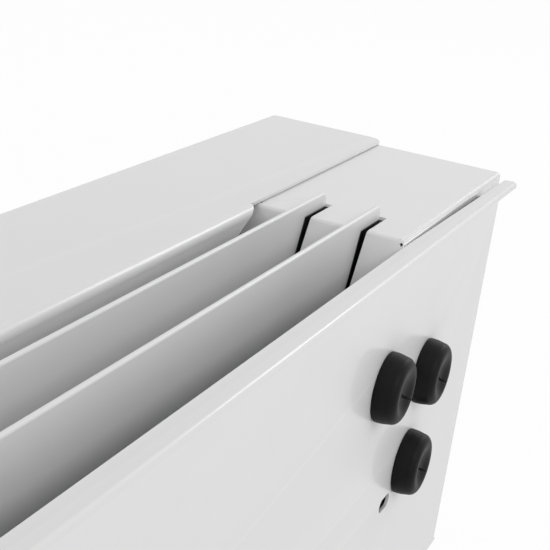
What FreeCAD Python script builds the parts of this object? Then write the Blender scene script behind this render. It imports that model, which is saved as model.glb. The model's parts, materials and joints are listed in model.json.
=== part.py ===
import FreeCAD, Part
import math
import os
import Sketcher

# An electric air curtain with a cross-flow fan, lying the way it is photographed: the outlet faces up (+Z),
# the length runs along X and the wall panel with the cable grommets faces -Y.
# The origin is the middle of the base, which is the top of the unit once it hangs over a door.

# Driving sizes, in millimetres, degrees and counts
SIZES = {
    # casing
    "cover_length": 1000.0,
    "depth": 155.0,
    "height": 210.0,
    "sheet": 1.5,
    "bend": 1.5,
    "seam": 0.4,
    "cover_overhang": 7.0,
    "cover_seat": 0.4,
    "cover_bend": 4.0,
    "lip_radius": 2.8,
    "lip_leg": 15.0,
    "outlet_front": 82.4,
    # wall panel
    "panel_inset": 37.7,
    "panel_return": 20.0,
    "flange_width": 10.0,
    "flange_drop": 2.7,
    "flange_inset": 2.4,
    "flange_corner": 3.0,
    "fixing_from_end": 163.0,
    "fixing_rise": 50.0,
    "fixing_low": 30.0,
    "fixing_width": 7.0,
    "fixing_slot": 14.0,
    # end plates of the outlet
    "right_end": 167.5,
    "left_end": 62.0,
    "slope_run": 40.0,
    "duct_height": 135.0,
    "rear_roll": 2.5,
    "rear_skirt": 2.8,
    "relief": 2.5,
    # vanes
    "vane_front_place": 60.4,
    "vane_rear_place": 33.0,
    "vane_lean": 2.8,
    "vane_rise": 6.0,
    "vane_sheet": 1.2,
    "vane_hem": 10.0,
    "vane_entry": 25.7,
    "vane_corner": 3.0,
    "vane_edge": 0.8,
    "slot_width": 10.5,
    "slot_near": 4.4,
    "slot_end": 1.5,
    "rod_drop": 48.0,
    "rod_radius": 2.5,
    "roll_wall": 1.2,
    "running": 0.06,
    "rod_reach": 5.0,
    "bracket_margin": 11.0,
    "bracket_flange": 13.0,
    # cable grommets
    "entry_radius": 12.5,
    "inner_entry_from_end": 198.6,
    "inner_entry_drop": 57.0,
    "outer_entry_from_end": 136.6,
    "outer_entry_drop": 69.8,
    "lower_entry_from_end": 143.1,
    "lower_entry_drop": 115.1,
    "grommet_radius": 16.0,
    "grommet_belly": 15.6,
    "grommet_front": 13.9,
    "grommet_height": 10.8,
    "grommet_rim": 1.6,
    "grommet_base": 0.8,
    "grommet_dish": 8.6,
    "grommet_dish_depth": 2.6,
    "grommet_membrane": 2.0,
    "grommet_pierce": 1.2,
    "grommet_bore": 9.0,
    "grommet_back": 4.0,
    "grommet_barb": 1.5,
    # side panels
    "side_flange": 14.0,
    "side_corner": 4.5,
    "side_lap": 3.0,
    "side_set": 0.5,
    # intake slots of the cover
    "intake_low": 16.0,
    "intake_slot": 58.0,
    "intake_width": 6.0,
    "intake_row_pitch": 13.0,
    "intake_rows": 8,
    "intake_column_pitch": 67.0,
    "intake_columns": 10,
    # fan
    "fan_back": 90.0,
    "fan_height": 62.0,
    "rotor_radius": 44.0,
    "rotor_end_gap": 6.0,
    "disc": 2.0,
    "ring_radius": 32.0,
    "ring_count": 3,
    "blade_count": 22,
    "blade_inner": 34.0,
    "blade_outer": 43.2,
    "blade_sweep": 8.0,
    "blade_arc": 11.0,
    "blade_wall": 2.2,
    "hub_radius": 10.0,
    "hub_length": 14.0,
    "shaft_radius": 5.0,
    # air guides
    "scroll_radius": 70.0,
    "scroll_wall": 1.2,
    "scroll_back": 13.0,
    "scroll_floor": 12.0,
    "scroll_start": 70.0,
    "scroll_top_gap": 12.0,
    "tongue_top": 12.0,
    "tongue_shoulder": 26.0,
    "tongue_nose_back": 105.0,
    "tongue_nose_height": 112.0,
    "tongue_front_height": 148.0,
    "tongue_flange": 16.0,
    # duct ends
    "duct_flange": 14.0,
    "duct_flange_low": 12.0,
    "duct_flange_high": 118.0,
    "shaft_hole": 9.0,
    "bearing_hole": 15.0,
    # bearing
    "bearing_outer": 9.0,
    "bearing_width": 10.0,
    "rubber_lip": 3.0,
    "rubber_width": 8.0,
    "stub_reach": 8.0,
    # motor
    "motor_post": 14.0,
    "motor_post_radius": 4.0,
    "motor_post_circle": 43.0,
    "motor_post_count": 4,
    "motor_flange_radius": 50.0,
    "motor_flange": 3.0,
    "motor_radius": 39.0,
    "motor_length": 64.0,
    "motor_edge": 6.0,
    "motor_boss_radius": 13.0,
    "motor_boss": 7.0,
    "motor_shaft_out": 6.0,
    "motor_rib_count": 24,
    "motor_rib": 1.6,
    "motor_rib_depth": 3.0,
    # heating elements
    "heater_radius": 4.0,
    "heater_drop": 10.6,
    "heater_first": 30.0,
    "heater_pitch": 24.0,
    "heater_left_out": 7.0,
    "heater_right_out": 9.0,
    "heater_cap_radius": 2.8,
    "heater_cap": 5.0,
    "heater_pin_radius": 1.5,
    "heater_pin": 9.0,
    "heater_clearance": 0.1,
    # electrics
    "cutout_back": 122.0,
    "cutout_drop": 12.1,
    "cutout_radius": 8.0,
    "cutout_depth": 6.0,
    "cutout_tab": 7.0,
    "rail_start": 136.0,
    "rail_length": 84.0,
    "rail_low": 30.0,
    "rail_width": 35.0,
    "rail_depth": 7.5,
    "rail_wall": 1.0,
    "rail_crown": 25.0,
    "terminal_pitch": 10.0,
    "terminal_count": 7,
    "terminal_depth": 34.0,
    "terminal_step": 18.7,
    "terminal_margin": 5.0,
    "terminal_cap": 22.0,
    "terminal_screw": 2.6,
    "terminal_well": 6.0,
    "board_drop": 20.0,
    "board_tall": 78.0,
    "board_back": 52.0,
    "board_wide": 80.0,
    "board_thick": 1.6,
    "board_post": 10.0,
    "board_post_radius": 3.0,
    "board_edge": 6.0,
    "relay_wide": 20.0,
    "relay_tall": 28.0,
    "relay_deep": 16.0,
    "relay_pitch": 32.0,
    "relay_margin": 14.0,
    "capacitor_from_end": 114.0,
    "capacitor_length": 62.0,
    "capacitor_radius": 13.0,
    "capacitor_height": 92.0,
    "capacitor_cap": 5.0,
    "clip_wall": 1.2,
    "clip_width": 14.0,
    "clip_mouth": 18.2,
    "earth_from_end": 62.0,
    "earth_height": 160.0,
    "earth_radius": 2.5,
    "earth_length": 15.0,
    "earth_washer": 5.5,
    "earth_washer_thick": 1.0,
    "earth_nut": 4.6,
    "earth_nut_thick": 4.0,
    "saddle_from_end": 84.0,
    "saddle_height": 134.0,
    "saddle_wide": 34.0,
    "saddle_tall": 11.0,
    "saddle_bore": 5.5,
    "saddle_wall": 2.5,
    "saddle_foot": 3.0,
    "saddle_hole": 1.8,
    # cover screws
    "screw_head": 4.0,
    "screw_radius": 2.0,
    "screw_length": 10.0,
    "screw_taper": 45.0,
    "screw_sink": 0.2,
    "screw_first": 40.0,
    "screw_pitch": 40.0,
    "screw_count": 3,
    "screw_clearance": 0.15,
}


class Size:
    """A number together with the sheet expression that gives it."""

    def __init__(self, value, text):
        self.value = value
        self.text = text

    def join(self, other, sign, result):
        return Size(result, "(%s %s %s)" % (self.text, sign, other.text))

    def __add__(self, other):
        other = size(other)
        return self.join(other, "+", self.value + other.value)

    def __sub__(self, other):
        other = size(other)
        return self.join(other, "-", self.value - other.value)

    def __mul__(self, other):
        other = size(other)
        return self.join(other, "*", self.value * other.value)

    def __truediv__(self, other):
        other = size(other)
        return self.join(other, "/", self.value / other.value)

    def __radd__(self, other):
        return size(other) + self

    def __rsub__(self, other):
        return size(other) - self

    def __rmul__(self, other):
        return size(other) * self

    def __rtruediv__(self, other):
        return size(other) / self

    def __neg__(self):
        return size(0) - self


def size(value):
    return value if isinstance(value, Size) else Size(float(value), repr(float(value)))


def root(value):
    return Size(math.sqrt(value.value), "sqrt(%s)" % value.text)


def on_circle(radius, angle):
    across = Size(math.cos(math.radians(angle.value)), "cos(%s)" % angle.text)
    up = Size(math.sin(math.radians(angle.value)), "sin(%s)" % angle.text)
    return radius * across, radius * up


# Two places closer than this are the same
MATCH = 0.01

doc = FreeCAD.newDocument("air_curtain")
sheet_object = doc.addObject("Spreadsheet::Sheet", "Sizes")
for row, (alias, value) in enumerate(SIZES.items(), 1):
    sheet_object.set("A%d" % row, alias.replace("_", " "))
    sheet_object.set("B%d" % row, repr(value))
    sheet_object.setAlias("B%d" % row, alias)
doc.recompute()


class Sheet:
    """Reads a driving size by its name."""

    def __getattr__(self, alias):
        return Size(float(SIZES[alias]), "Sizes." + alias)


d = Sheet()
nodes = {}


def bind(item, prop, value):
    item.setExpression(prop, size(value).text)


def keep(name, item):
    item.Label = name
    nodes[name] = item
    return item


def new_body(name, place=None):
    body = doc.addObject("PartDesign::Body", name)
    if place:
        for axis, value in zip("xyz", place):
            bind(body, "Placement.Base." + axis, value)
    return keep(name, body)


def origin_item(body, role):
    return [item for item in body.Origin.OriginFeatures if item.Role == role][0]


def new_sketch(body, plane, offset=None):
    sketch = body.newObject("Sketcher::SketchObject", body.Name + "_sketch")
    sketch.AttachmentSupport = [(origin_item(body, plane), "")]
    sketch.MapMode = "FlatFace"
    if offset is not None:
        bind(sketch, "AttachmentOffset.Base.z", offset)
    return sketch


def fix(sketch, constraint, value):
    index = sketch.addConstraint(constraint)
    sketch.setExpression("Constraints[%d]" % index, value.text)


def fix_point(sketch, shape, end, point):
    # A coordinate that is always zero lies on the sketch's own axis
    for kind, value, axis in (("DistanceX", size(point[0]), -2), ("DistanceY", size(point[1]), -1)):
        if value.text == "0.0":
            sketch.addConstraint(Sketcher.Constraint("PointOnObject", shape, end, axis))
        else:
            fix(sketch, Sketcher.Constraint(kind, -1, 1, shape, end, value.value), value)


def vector(point):
    return FreeCAD.Vector(size(point[0]).value, size(point[1]).value, 0)


def arc_between(start, end, radius):
    # Positive radii turn left on the way from start to end
    chord = end - start
    left = FreeCAD.Vector(-chord.y, chord.x, 0).normalize()
    rise = math.sqrt(max(radius * radius - chord.Length ** 2 / 4, 0))
    centre = (start + end) / 2 + left * math.copysign(rise, radius)
    first, last = (start, end) if radius > 0 else (end, start)
    angles = [math.atan2(p.y - centre.y, p.x - centre.x) for p in (first, last)]
    circle = Part.Circle(centre, FreeCAD.Vector(0, 0, 1), abs(radius))
    return Part.ArcOfCircle(circle, angles[0], angles[1])


def draw_loop(sketch, points):
    # A point with a third value starts an arc of that radius
    first = sketch.GeometryCount
    ends = []
    for index, point in enumerate(points):
        start, end = vector(point), vector(points[(index + 1) % len(points)])
        if len(point) == 3:
            radius = size(point[2])
            sketch.addGeometry(arc_between(start, end, radius.value), False)
            ends.append((1, 2) if radius.value > 0 else (2, 1))
        else:
            sketch.addGeometry(Part.LineSegment(start, end), False)
            ends.append((1, 2))
    count = len(points)
    for index in range(count):
        following = (index + 1) % count
        joint = (first + index, ends[index][1], first + following, ends[following][0])
        sketch.addConstraint(Sketcher.Constraint("Coincident", *joint))
    for index, point in enumerate(points):
        fix_point(sketch, first + index, ends[index][0], point)
        if len(point) == 3:
            radius = size(point[2])
            positive = radius if radius.value > 0 else -radius
            fix(sketch, Sketcher.Constraint("Radius", first + index, positive.value), positive)


def rectangle(low, high):
    return [low, (high[0], low[1]), high, (low[0], high[1])]


def draw_circle(sketch, centre, radius):
    index = sketch.addGeometry(Part.Circle(vector(centre), FreeCAD.Vector(0, 0, 1), radius.value), False)
    fix_point(sketch, index, 3, centre)
    fix(sketch, Sketcher.Constraint("Radius", index, radius.value), radius)


def draw_oblong(sketch, centre, across, tall):
    # A slot with round ends, along the sketch's first axis
    half = across / 2 - tall / 2
    left, right = centre[0] - half, centre[0] + half
    low, high = centre[1] - tall / 2, centre[1] + tall / 2
    first = sketch.GeometryCount
    sketch.addGeometry(Part.LineSegment(vector((left, low)), vector((right, low))), False)
    circle = Part.Circle(vector((right, centre[1])), FreeCAD.Vector(0, 0, 1), (tall / 2).value)
    sketch.addGeometry(Part.ArcOfCircle(circle, -math.pi / 2, math.pi / 2), False)
    sketch.addGeometry(Part.LineSegment(vector((right, high)), vector((left, high))), False)
    circle = Part.Circle(vector((left, centre[1])), FreeCAD.Vector(0, 0, 1), (tall / 2).value)
    sketch.addGeometry(Part.ArcOfCircle(circle, math.pi / 2, 3 * math.pi / 2), False)
    for index in range(4):
        joint = (first + index, 2, first + (index + 1) % 4, 1)
        sketch.addConstraint(Sketcher.Constraint("Tangent", *joint))
    fix_point(sketch, first + 1, 3, (right, centre[1]))
    fix_point(sketch, first + 3, 3, (left, centre[1]))
    fix(sketch, Sketcher.Constraint("Radius", first + 1, (tall / 2).value), tall / 2)


def pad_loops(body, plane, low, high, loops):
    # Pads closed loops between two levels along the plane's own axis
    offset = -high if plane == "XZ_Plane" else size(low)
    sketch = new_sketch(body, plane, offset)
    for loop in loops:
        draw_loop(sketch, loop)
    return pad_sketch(body, sketch, high - low)


def pad_sketch(body, sketch, length):
    pad = body.newObject("PartDesign::Pad", body.Name + "_pad")
    pad.Profile = sketch
    bind(pad, "Length", length)
    return pad


def cut_through(body, sketch):
    pocket = body.newObject("PartDesign::Pocket", body.Name + "_cut")
    pocket.Profile = sketch
    pocket.Type = "ThroughAll"
    pocket.SideType = "Symmetric"
    return pocket


def cut_loops(body, plane, loops):
    sketch = new_sketch(body, plane)
    for loop in loops:
        draw_loop(sketch, loop)
    return cut_through(body, sketch)


def cut_circles(body, plane, circles):
    sketch = new_sketch(body, plane)
    for centre, radius in circles:
        draw_circle(sketch, centre, radius)
    return cut_through(body, sketch)


def cut_between(body, plane, low, high, loops):
    # Pockets closed loops between two levels; a pocket runs against the plane's own axis
    offset = -low if plane == "XZ_Plane" else size(high)
    sketch = new_sketch(body, plane, offset)
    for loop in loops:
        draw_loop(sketch, loop)
    pocket = body.newObject("PartDesign::Pocket", body.Name + "_recess")
    pocket.Profile = sketch
    bind(pocket, "Length", high - low)
    return pocket


def same(first, second):
    return abs(first - second) < MATCH


def edges_at(feature, along, places):
    # Names of the straight edges along one axis that pass through the given places
    doc.recompute()
    others = [axis for axis in range(3) if axis != along]
    names = []
    for index, edge in enumerate(feature.Shape.Edges, 1):
        ends = [edge.Vertexes[0].Point, edge.Vertexes[-1].Point]
        if same(ends[0][along], ends[1][along]):
            continue
        for place in places:
            values = [size(value).value for value in place]
            if all(same(end[axis], value) for end in ends for axis, value in zip(others, values)):
                names.append("Edge%d" % index)
    return names


def round_edges(body, along, places, radius):
    feature = body.Tip
    fillet = body.newObject("PartDesign::Fillet", body.Name + "_bend")
    fillet.Base = (feature, edges_at(feature, along, places))
    bind(fillet, "Radius", radius)
    return fillet


def offset_path(path, thickness):
    # The numbers of the path's parallel on its left side
    points = [vector(point) for point in path]
    normals = []
    for start, end in zip(points, points[1:]):
        step = (end - start).normalize()
        normals.append(FreeCAD.Vector(-step.y, step.x, 0))
    shifted = []
    for index, point in enumerate(points):
        before = normals[max(index - 1, 0)]
        after = normals[min(index, len(normals) - 1)]
        middle = (before + after).normalize()
        shifted.append(point + middle * (thickness.value / middle.dot(after)))
    return shifted


def draw_sheet(sketch, path, thickness):
    # A bent sheet: the path is one face, and the other face is parallel to it on the left
    points = [vector(point) for point in path]
    loop = points + offset_path(path, thickness)[::-1]
    for start, end in zip(loop, loop[1:] + loop[:1]):
        sketch.addGeometry(Part.LineSegment(start, end), False)
    count, runs = len(loop), len(path) - 1
    for index in range(count):
        sketch.addConstraint(Sketcher.Constraint("Coincident", index, 2, (index + 1) % count, 1))
    for index, point in enumerate(path):
        if index < runs:
            fix_point(sketch, index, 1, point)
        else:
            fix_point(sketch, index - 1, 2, point)
    for index in range(runs):
        facing = 2 * runs - index
        sketch.addConstraint(Sketcher.Constraint("Parallel", index, facing))
        fix(sketch, Sketcher.Constraint("Distance", facing, 1, index, thickness.value), thickness)
    sketch.addConstraint(Sketcher.Constraint("Perpendicular", runs - 1, runs))
    sketch.addConstraint(Sketcher.Constraint("Perpendicular", 0, count - 1))


def bent_sheet(body, path, thickness, low, high, inside):
    # A sheet folded along X, with every inside bend of one radius
    sketch = new_sketch(body, "YZ_Plane", low)
    draw_sheet(sketch, path, thickness)
    pad_sketch(body, sketch, high - low)
    faces = [vector(point) for point in path], offset_path(path, thickness)
    inner, outer = [], []
    for index in range(1, len(path) - 1):
        step, following = faces[0][index] - faces[0][index - 1], faces[0][index + 1] - faces[0][index]
        turns_left = step.x * following.y - step.y * following.x > 0
        near, far = (faces[1], faces[0]) if turns_left else (faces[0], faces[1])
        inner.append((near[index].x, near[index].y))
        outer.append((far[index].x, far[index].y))
    round_edges(body, 0, inner, inside)
    round_edges(body, 0, outer, inside + thickness)


def rolled_edge(back, top, radius, wall, leg):
    # Section of a sheet edge that rolls over from level and ends in an upright leg
    return [
        (back + radius, top, radius),
        (back, top - radius),
        (back, top - radius - leg),
        (back + wall, top - radius - leg),
        (back + wall, top - radius, wall - radius),
        (back + radius, top - wall),
    ]


def box(name, low, high):
    item = doc.addObject("Part::Box", name)
    for prop, start, end in zip(("Length", "Width", "Height"), low, high):
        bind(item, prop, size(end) - start)
    for axis, value in zip("xyz", low):
        bind(item, "Placement.Base." + axis, value)
    return item


# Turns that lay an upright cylinder along an axis
TURNS = {
    "x": FreeCAD.Rotation(FreeCAD.Vector(0, 1, 0), 90),
    "y": FreeCAD.Rotation(FreeCAD.Vector(1, 0, 0), -90),
    "z": FreeCAD.Rotation(),
}


def cylinder(name, axis, start, radius, length):
    item = doc.addObject("Part::Cylinder", name)
    bind(item, "Radius", radius)
    bind(item, "Height", length)
    item.Placement = FreeCAD.Placement(FreeCAD.Vector(), TURNS[axis])
    for letter, value in zip("xyz", start):
        bind(item, "Placement.Base." + letter, value)
    return item


def fuse(name, items):
    item = doc.addObject("Part::MultiFuse", name)
    item.Shapes = items
    item.Refine = True
    return item


def cut(name, base, tools):
    item = doc.addObject("Part::Cut", name)
    item.Base = base
    item.Tool = tools[0] if len(tools) == 1 else fuse(name + "_tools", tools)
    return item


def group(name, items):
    item = doc.addObject("Part::Compound", name)
    item.Links = items
    return keep(name, item)


def turned_body(name, place, outline):
    # A turned piece: the outline is (along X, radius) and turns round X
    body = new_body(name, place)
    sketch = new_sketch(body, "XY_Plane")
    draw_loop(sketch, outline)
    turn = body.newObject("PartDesign::Revolution", name + "_turn")
    turn.Profile = sketch
    turn.ReferenceAxis = (sketch, ["H_Axis"])
    turn.Angle = 360
    return body


# Shared places, measured from the origin
back = -(d.depth / 2)
front = d.depth / 2
end_edge = d.cover_length / 2 - d.cover_overhang
cover_top = d.height + d.cover_seat + d.sheet
flange_top = d.height - d.flange_drop
slope_depth = d.height - d.duct_height
lip_back = back + d.outlet_front
right_bend = end_edge - d.right_end
left_bend = d.left_end - end_edge
slope_length = root(d.slope_run * d.slope_run + slope_depth * slope_depth)
slope_skin = d.sheet * slope_length / slope_depth
right_duct = right_bend - d.slope_run + slope_skin + d.seam
left_duct = left_bend + d.slope_run - slope_skin - d.seam
guide_right = right_bend - d.slope_run - d.seam
guide_left = left_bend + d.slope_run + d.seam
duct_top = d.duct_height - d.seam
end_rear = back + d.flange_width + d.seam
roll_front = end_rear + d.rear_roll
side_rear = roll_front + d.seam
vane_right = right_bend + d.vane_entry
vane_left = left_bend - d.vane_entry
rod_height = d.height - d.rod_drop
fan_place = (back + d.fan_back, d.fan_height)
heater_height = duct_top - d.heater_drop
panel_edge = end_edge - d.panel_inset
entries = {
    "inner": (end_edge - d.inner_entry_from_end, d.height - d.inner_entry_drop),
    "outer": (end_edge - d.outer_entry_from_end, d.height - d.outer_entry_drop),
    "lower": (end_edge - d.lower_entry_from_end, d.height - d.lower_entry_drop),
}
vanes = {"front": back + d.vane_front_place, "rear": back + d.vane_rear_place}
heaters = {
    "rear": back + d.heater_first,
    "middle": back + d.heater_first + d.heater_pitch,
    "front": back + d.heater_first + d.heater_pitch * 2,
}
screw_line = end_edge - d.side_set - d.side_flange / 2
screw_places = []
for side in (-1, 1):
    for index in range(int(d.screw_count.value)):
        screw_places.append((screw_line * side, back + d.screw_first + d.screw_pitch * index))


# Wall panel: a flat sheet with a narrow flange along the outlet, a return along the base and folded ends
def make_back_panel():
    body = new_body("back_panel")
    reach = end_edge - d.flange_inset
    path = [
        (back + d.flange_width, flange_top),
        (back, flange_top),
        (back, size(0)),
        (back + d.panel_return, size(0)),
    ]
    bent_sheet(body, path, d.sheet, -reach, reach, d.bend)
    # The flange and the front of the return run past the panel's ends; the flange's inner corners are cut
    radius = d.bend + d.sheet
    skirt = flange_top - radius
    inner = back + d.flange_width
    corner = d.flange_corner
    ends, feet, corners = [], [], []
    for side in (-1, 1):
        tip = reach * side
        beyond = tip + d.sheet * side
        ends.append(rectangle(((panel_edge - radius) * side, radius), (beyond, skirt)))
        feet.append(rectangle((panel_edge * side, back - d.sheet), (beyond, side_rear)))
        corners.append([(tip - corner * side, inner), (tip, inner - corner), (beyond, inner)])
    cut_loops(body, "XZ_Plane", ends)
    cut_between(body, "XY_Plane", -d.sheet, radius, feet)
    cut_loops(body, "XY_Plane", corners)
    # The ends of the panel fold in as far as the side panels
    for side in (-1, 1):
        edge, bent = panel_edge * side, (panel_edge - radius) * side
        inside = edge - d.sheet * side
        fold = [
            (bent, back, radius * side),
            (edge, back + radius),
            (edge, side_rear - d.seam),
            (inside, side_rear - d.seam),
            (inside, back + radius, -d.bend * side),
            (bent, back + d.sheet),
        ]
        pad_loops(body, "XY_Plane", radius, skirt, [fold])
    sketch = new_sketch(body, "XZ_Plane")
    for place in entries.values():
        draw_circle(sketch, place, d.entry_radius)
    for side in (-1, 1):
        for row in range(2):
            middle = ((end_edge - d.fixing_from_end) * side, d.fixing_low + d.fixing_rise * row)
            draw_oblong(sketch, middle, d.fixing_slot, d.fixing_width)
    cut_through(body, sketch)


# Front cover: outlet plate, front with the intake slots and a plate along the base, folded from one sheet
def make_front_cover():
    body = new_body("front_cover")
    reach = d.cover_length / 2
    base_edge = back + d.panel_return + d.seam
    path = [(base_edge, size(0)), (front, size(0)), (front, cover_top), (lip_back, cover_top)]
    bent_sheet(body, path, d.sheet, -reach, reach, d.cover_bend)
    # The plate's edge rolls down into the outlet between the two end plates, with a relief at each end
    low, high = left_bend + d.relief, right_bend - d.relief
    notch = rectangle((low, lip_back - d.sheet), (high, lip_back + d.lip_radius))
    cut_between(body, "XY_Plane", d.height - d.sheet, cover_top + d.sheet, [notch])
    lip = rolled_edge(lip_back, cover_top, d.lip_radius, d.sheet, d.lip_leg)
    pad_loops(body, "YZ_Plane", low + d.relief, high - d.relief, [lip])
    # One column of intake slots, repeated along the front
    span = d.intake_column_pitch * (d.intake_columns - 1)
    middle = (guide_left + guide_right) / 2
    column = []
    for row in range(int(d.intake_rows.value)):
        low = d.intake_low + d.intake_row_pitch * row
        left = middle - span / 2 - d.intake_slot / 2
        column.append(rectangle((left, low), (left + d.intake_slot, low + d.intake_width)))
    slots = cut_loops(body, "XZ_Plane", column)
    pattern = body.newObject("PartDesign::LinearPattern", "intake_columns")
    pattern.Originals = [slots]
    pattern.Direction = (origin_item(body, "X_Axis"), [""])
    bind(pattern, "Length", span)
    bind(pattern, "Occurrences", d.intake_columns)
    body.Tip = pattern
    # Countersunk holes for the screws that hold the cover to the side panels
    sketch = new_sketch(body, "XY_Plane")
    for place in screw_places:
        draw_circle(sketch, place, d.screw_head + d.screw_clearance)
    sink = body.newObject("PartDesign::Pocket", "screw_sinks")
    sink.Profile = sketch
    sink.Reversed = True
    bind(sink, "Length", d.sheet)
    bind(sink, "TaperAngle", -d.screw_taper)


# End plates of the outlet: level plate, slope down into the duct, rolled rear edge and slots for the vanes
def make_outlet_end(name, side, bend_line):
    body = new_body(name)
    tip = bend_line - d.slope_run * side
    under = d.sheet * (slope_length - d.slope_run) / slope_depth
    level = d.height - d.sheet
    foot = d.duct_height
    edge = end_edge * side
    plate = [
        (edge, d.height),
        (bend_line, d.height),
        (tip, foot),
        (tip + slope_skin * side, foot),
        (bend_line + under * side, level),
        (edge, level),
    ]
    pad_loops(body, "XZ_Plane", roll_front, lip_back - d.seam, [plate])
    strip = [
        (bend_line + d.relief * side, d.height),
        (bend_line, d.height),
        (tip, foot),
        (tip + slope_skin * side, foot),
        (bend_line + under * side, level),
        (bend_line + d.relief * side, level),
    ]
    pad_loops(body, "XZ_Plane", end_rear, roll_front, [strip])
    round_edges(body, 1, [(bend_line + under * side, level)], d.bend)
    round_edges(body, 1, [(bend_line, d.height)], d.bend + d.sheet)
    # The level plate carries on under the cover
    shelf = [(bend_line + d.relief * 2 * side, d.height), (edge, d.height), (edge, level)]
    shelf.append((bend_line + d.relief * 2 * side, level))
    pad_loops(body, "XZ_Plane", lip_back - d.seam, front - d.sheet - d.seam - d.side_corner, [shelf])
    roll = rolled_edge(end_rear, d.height, d.rear_roll, d.sheet, d.rear_skirt)
    near = bend_line + d.relief * 2 * side
    low, high = (near, edge) if side > 0 else (edge, near)
    pad_loops(body, "YZ_Plane", low, high, [roll])
    # Vane slots run from the foot of the slope to just past the ends of the vanes
    stop = bend_line + (d.vane_entry + d.slot_end) * side
    cuts = []
    for place in vanes.values():
        rear = place - d.slot_near
        cuts.append(rectangle((tip - d.sheet * side, rear), (stop, rear + d.slot_width)))
    cut_loops(body, "XY_Plane", cuts)


# Side panels: shallow trays with their walls turned inwards, the rear one as far as the wall panel
def make_side_panel(name, side):
    body = new_body(name)
    outer = (end_edge - d.side_set) * side
    inner = outer - d.side_flange * side
    low, high = (inner, outer) if side > 0 else (outer, inner)
    rear, face = side_rear, front - d.sheet - d.seam
    base, top = d.sheet, d.height - d.sheet
    outline = rectangle((rear, base), (face, top))
    pad_loops(body, "YZ_Plane", low, high, [outline])
    round_edges(body, 0, outline, d.side_corner)
    wall = d.sheet
    hollow = rectangle((rear + wall, base + wall), (face - wall, top - wall))
    if side > 0:
        cut_between(body, "YZ_Plane", low, high - wall, [hollow])
    else:
        cut_between(body, "YZ_Plane", low + wall, high, [hollow])
    round_edges(body, 0, hollow, d.side_corner - wall)
    lap = rectangle(((panel_edge - wall - d.side_lap) * side, rear), (inner, rear + wall))
    pad_loops(body, "XY_Plane", base + d.side_corner, top - d.side_corner, [lap])
    # Holes for the tips of the cover screws
    sketch = new_sketch(body, "XY_Plane")
    for across, along in screw_places:
        if across.value * side > 0:
            draw_circle(sketch, (across, along), d.screw_head - d.sheet + d.screw_clearance * 2)
    pocket = body.newObject("PartDesign::Pocket", name + "_holes")
    pocket.Profile = sketch
    pocket.Reversed = True
    bind(pocket, "Length", base + wall * 2)


# Vanes: a hemmed blade whose lower edge is rolled round a rod; at rest it leans to the front
def make_vane(name, place):
    body = new_body(name, (size(0), place, rod_height))
    lean = FreeCAD.Rotation(FreeCAD.Vector(-1, 0, 0), d.vane_lean.value)
    body.Placement = FreeCAD.Placement(FreeCAD.Vector(), lean)
    bind(body, "Placement.Rotation.Angle", d.vane_lean)
    bore = d.rod_radius + d.running
    roll = bore + d.roll_wall
    top = d.rod_drop + d.vane_rise
    face, hem = -roll, d.vane_sheet * 2 - roll
    corner = d.vane_corner
    blade = [
        (vane_left, size(0)),
        (vane_right, size(0)),
        (vane_right, top - corner, corner),
        (vane_right - corner, top),
        (vane_left + corner, top, corner),
        (vane_left, top - corner),
    ]
    pad_loops(body, "XZ_Plane", face, hem, [blade])
    # Below the hem the blade is a single sheet
    thin = rectangle((vane_left - corner, -corner), (vane_right + corner, top - d.vane_hem))
    cut_between(body, "XZ_Plane", face + d.vane_sheet, hem + d.vane_sheet, [thin])
    round_edges(body, 0, [(face, top), (hem, top)], d.vane_edge)
    sketch = new_sketch(body, "YZ_Plane", vane_left)
    draw_circle(sketch, (size(0), size(0)), roll)
    pad_sketch(body, sketch, vane_right - vane_left)
    cut_circles(body, "YZ_Plane", [((size(0), size(0)), bore)])


def make_rod(name, place):
    reach = d.rod_reach
    start = (vane_left - reach, place, rod_height)
    keep(name, cylinder(name, "x", start, d.rod_radius, vane_right - vane_left + reach * 2))


# Vane brackets: an upright plate with a hole for each rod, folded under the end plate
def make_vane_bracket(name, side, vane_end):
    body = new_body(name)
    face = vane_end + d.slot_end * side
    far = face + d.bracket_flange * side
    level = d.height - d.sheet
    low = rod_height - d.bracket_margin
    profile = [
        (face, low),
        (face, level),
        (far, level),
        (far, level - d.sheet),
        (face + d.sheet * side, level - d.sheet),
        (face + d.sheet * side, low),
    ]
    rear, fore = vanes["rear"] - d.bracket_margin, vanes["front"] + d.bracket_margin
    pad_loops(body, "XZ_Plane", rear, fore, [profile])
    round_edges(body, 1, [(face + d.sheet * side, level - d.sheet)], d.bend)
    round_edges(body, 1, [(face, level)], d.bend + d.sheet)
    hole = d.rod_radius + d.running
    cut_circles(body, "YZ_Plane", [((place, rod_height), hole) for place in vanes.values()])


# Cable grommets: rubber drums with a dished, pierced front and a groove that grips the panel
def make_grommet(name, place):
    grip = d.entry_radius - d.running
    seat = d.sheet + d.running
    tip = -d.grommet_height
    hollow = tip + d.grommet_dish_depth + d.grommet_membrane
    outline = [
        (hollow, d.grommet_pierce),
        (tip + d.grommet_dish_depth, d.grommet_pierce),
        (tip, d.grommet_dish),
        (tip, d.grommet_front - d.grommet_rim),
        (tip + d.grommet_rim, d.grommet_front),
        (tip / 2, d.grommet_belly),
        (-d.grommet_base - d.running, d.grommet_radius),
        (-d.running, d.grommet_radius - d.grommet_base),
        (-d.running, grip),
        (seat, grip),
        (seat, d.entry_radius + d.grommet_barb),
        (d.sheet + d.grommet_back, grip - d.grommet_barb),
        (d.sheet + d.grommet_back, d.grommet_bore),
        (hollow, d.grommet_bore),
    ]
    body = turned_body(name, (place[0], back, place[1]), outline)
    body.Placement = FreeCAD.Placement(FreeCAD.Vector(), FreeCAD.Rotation(FreeCAD.Vector(0, 0, 1), 90))


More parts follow.
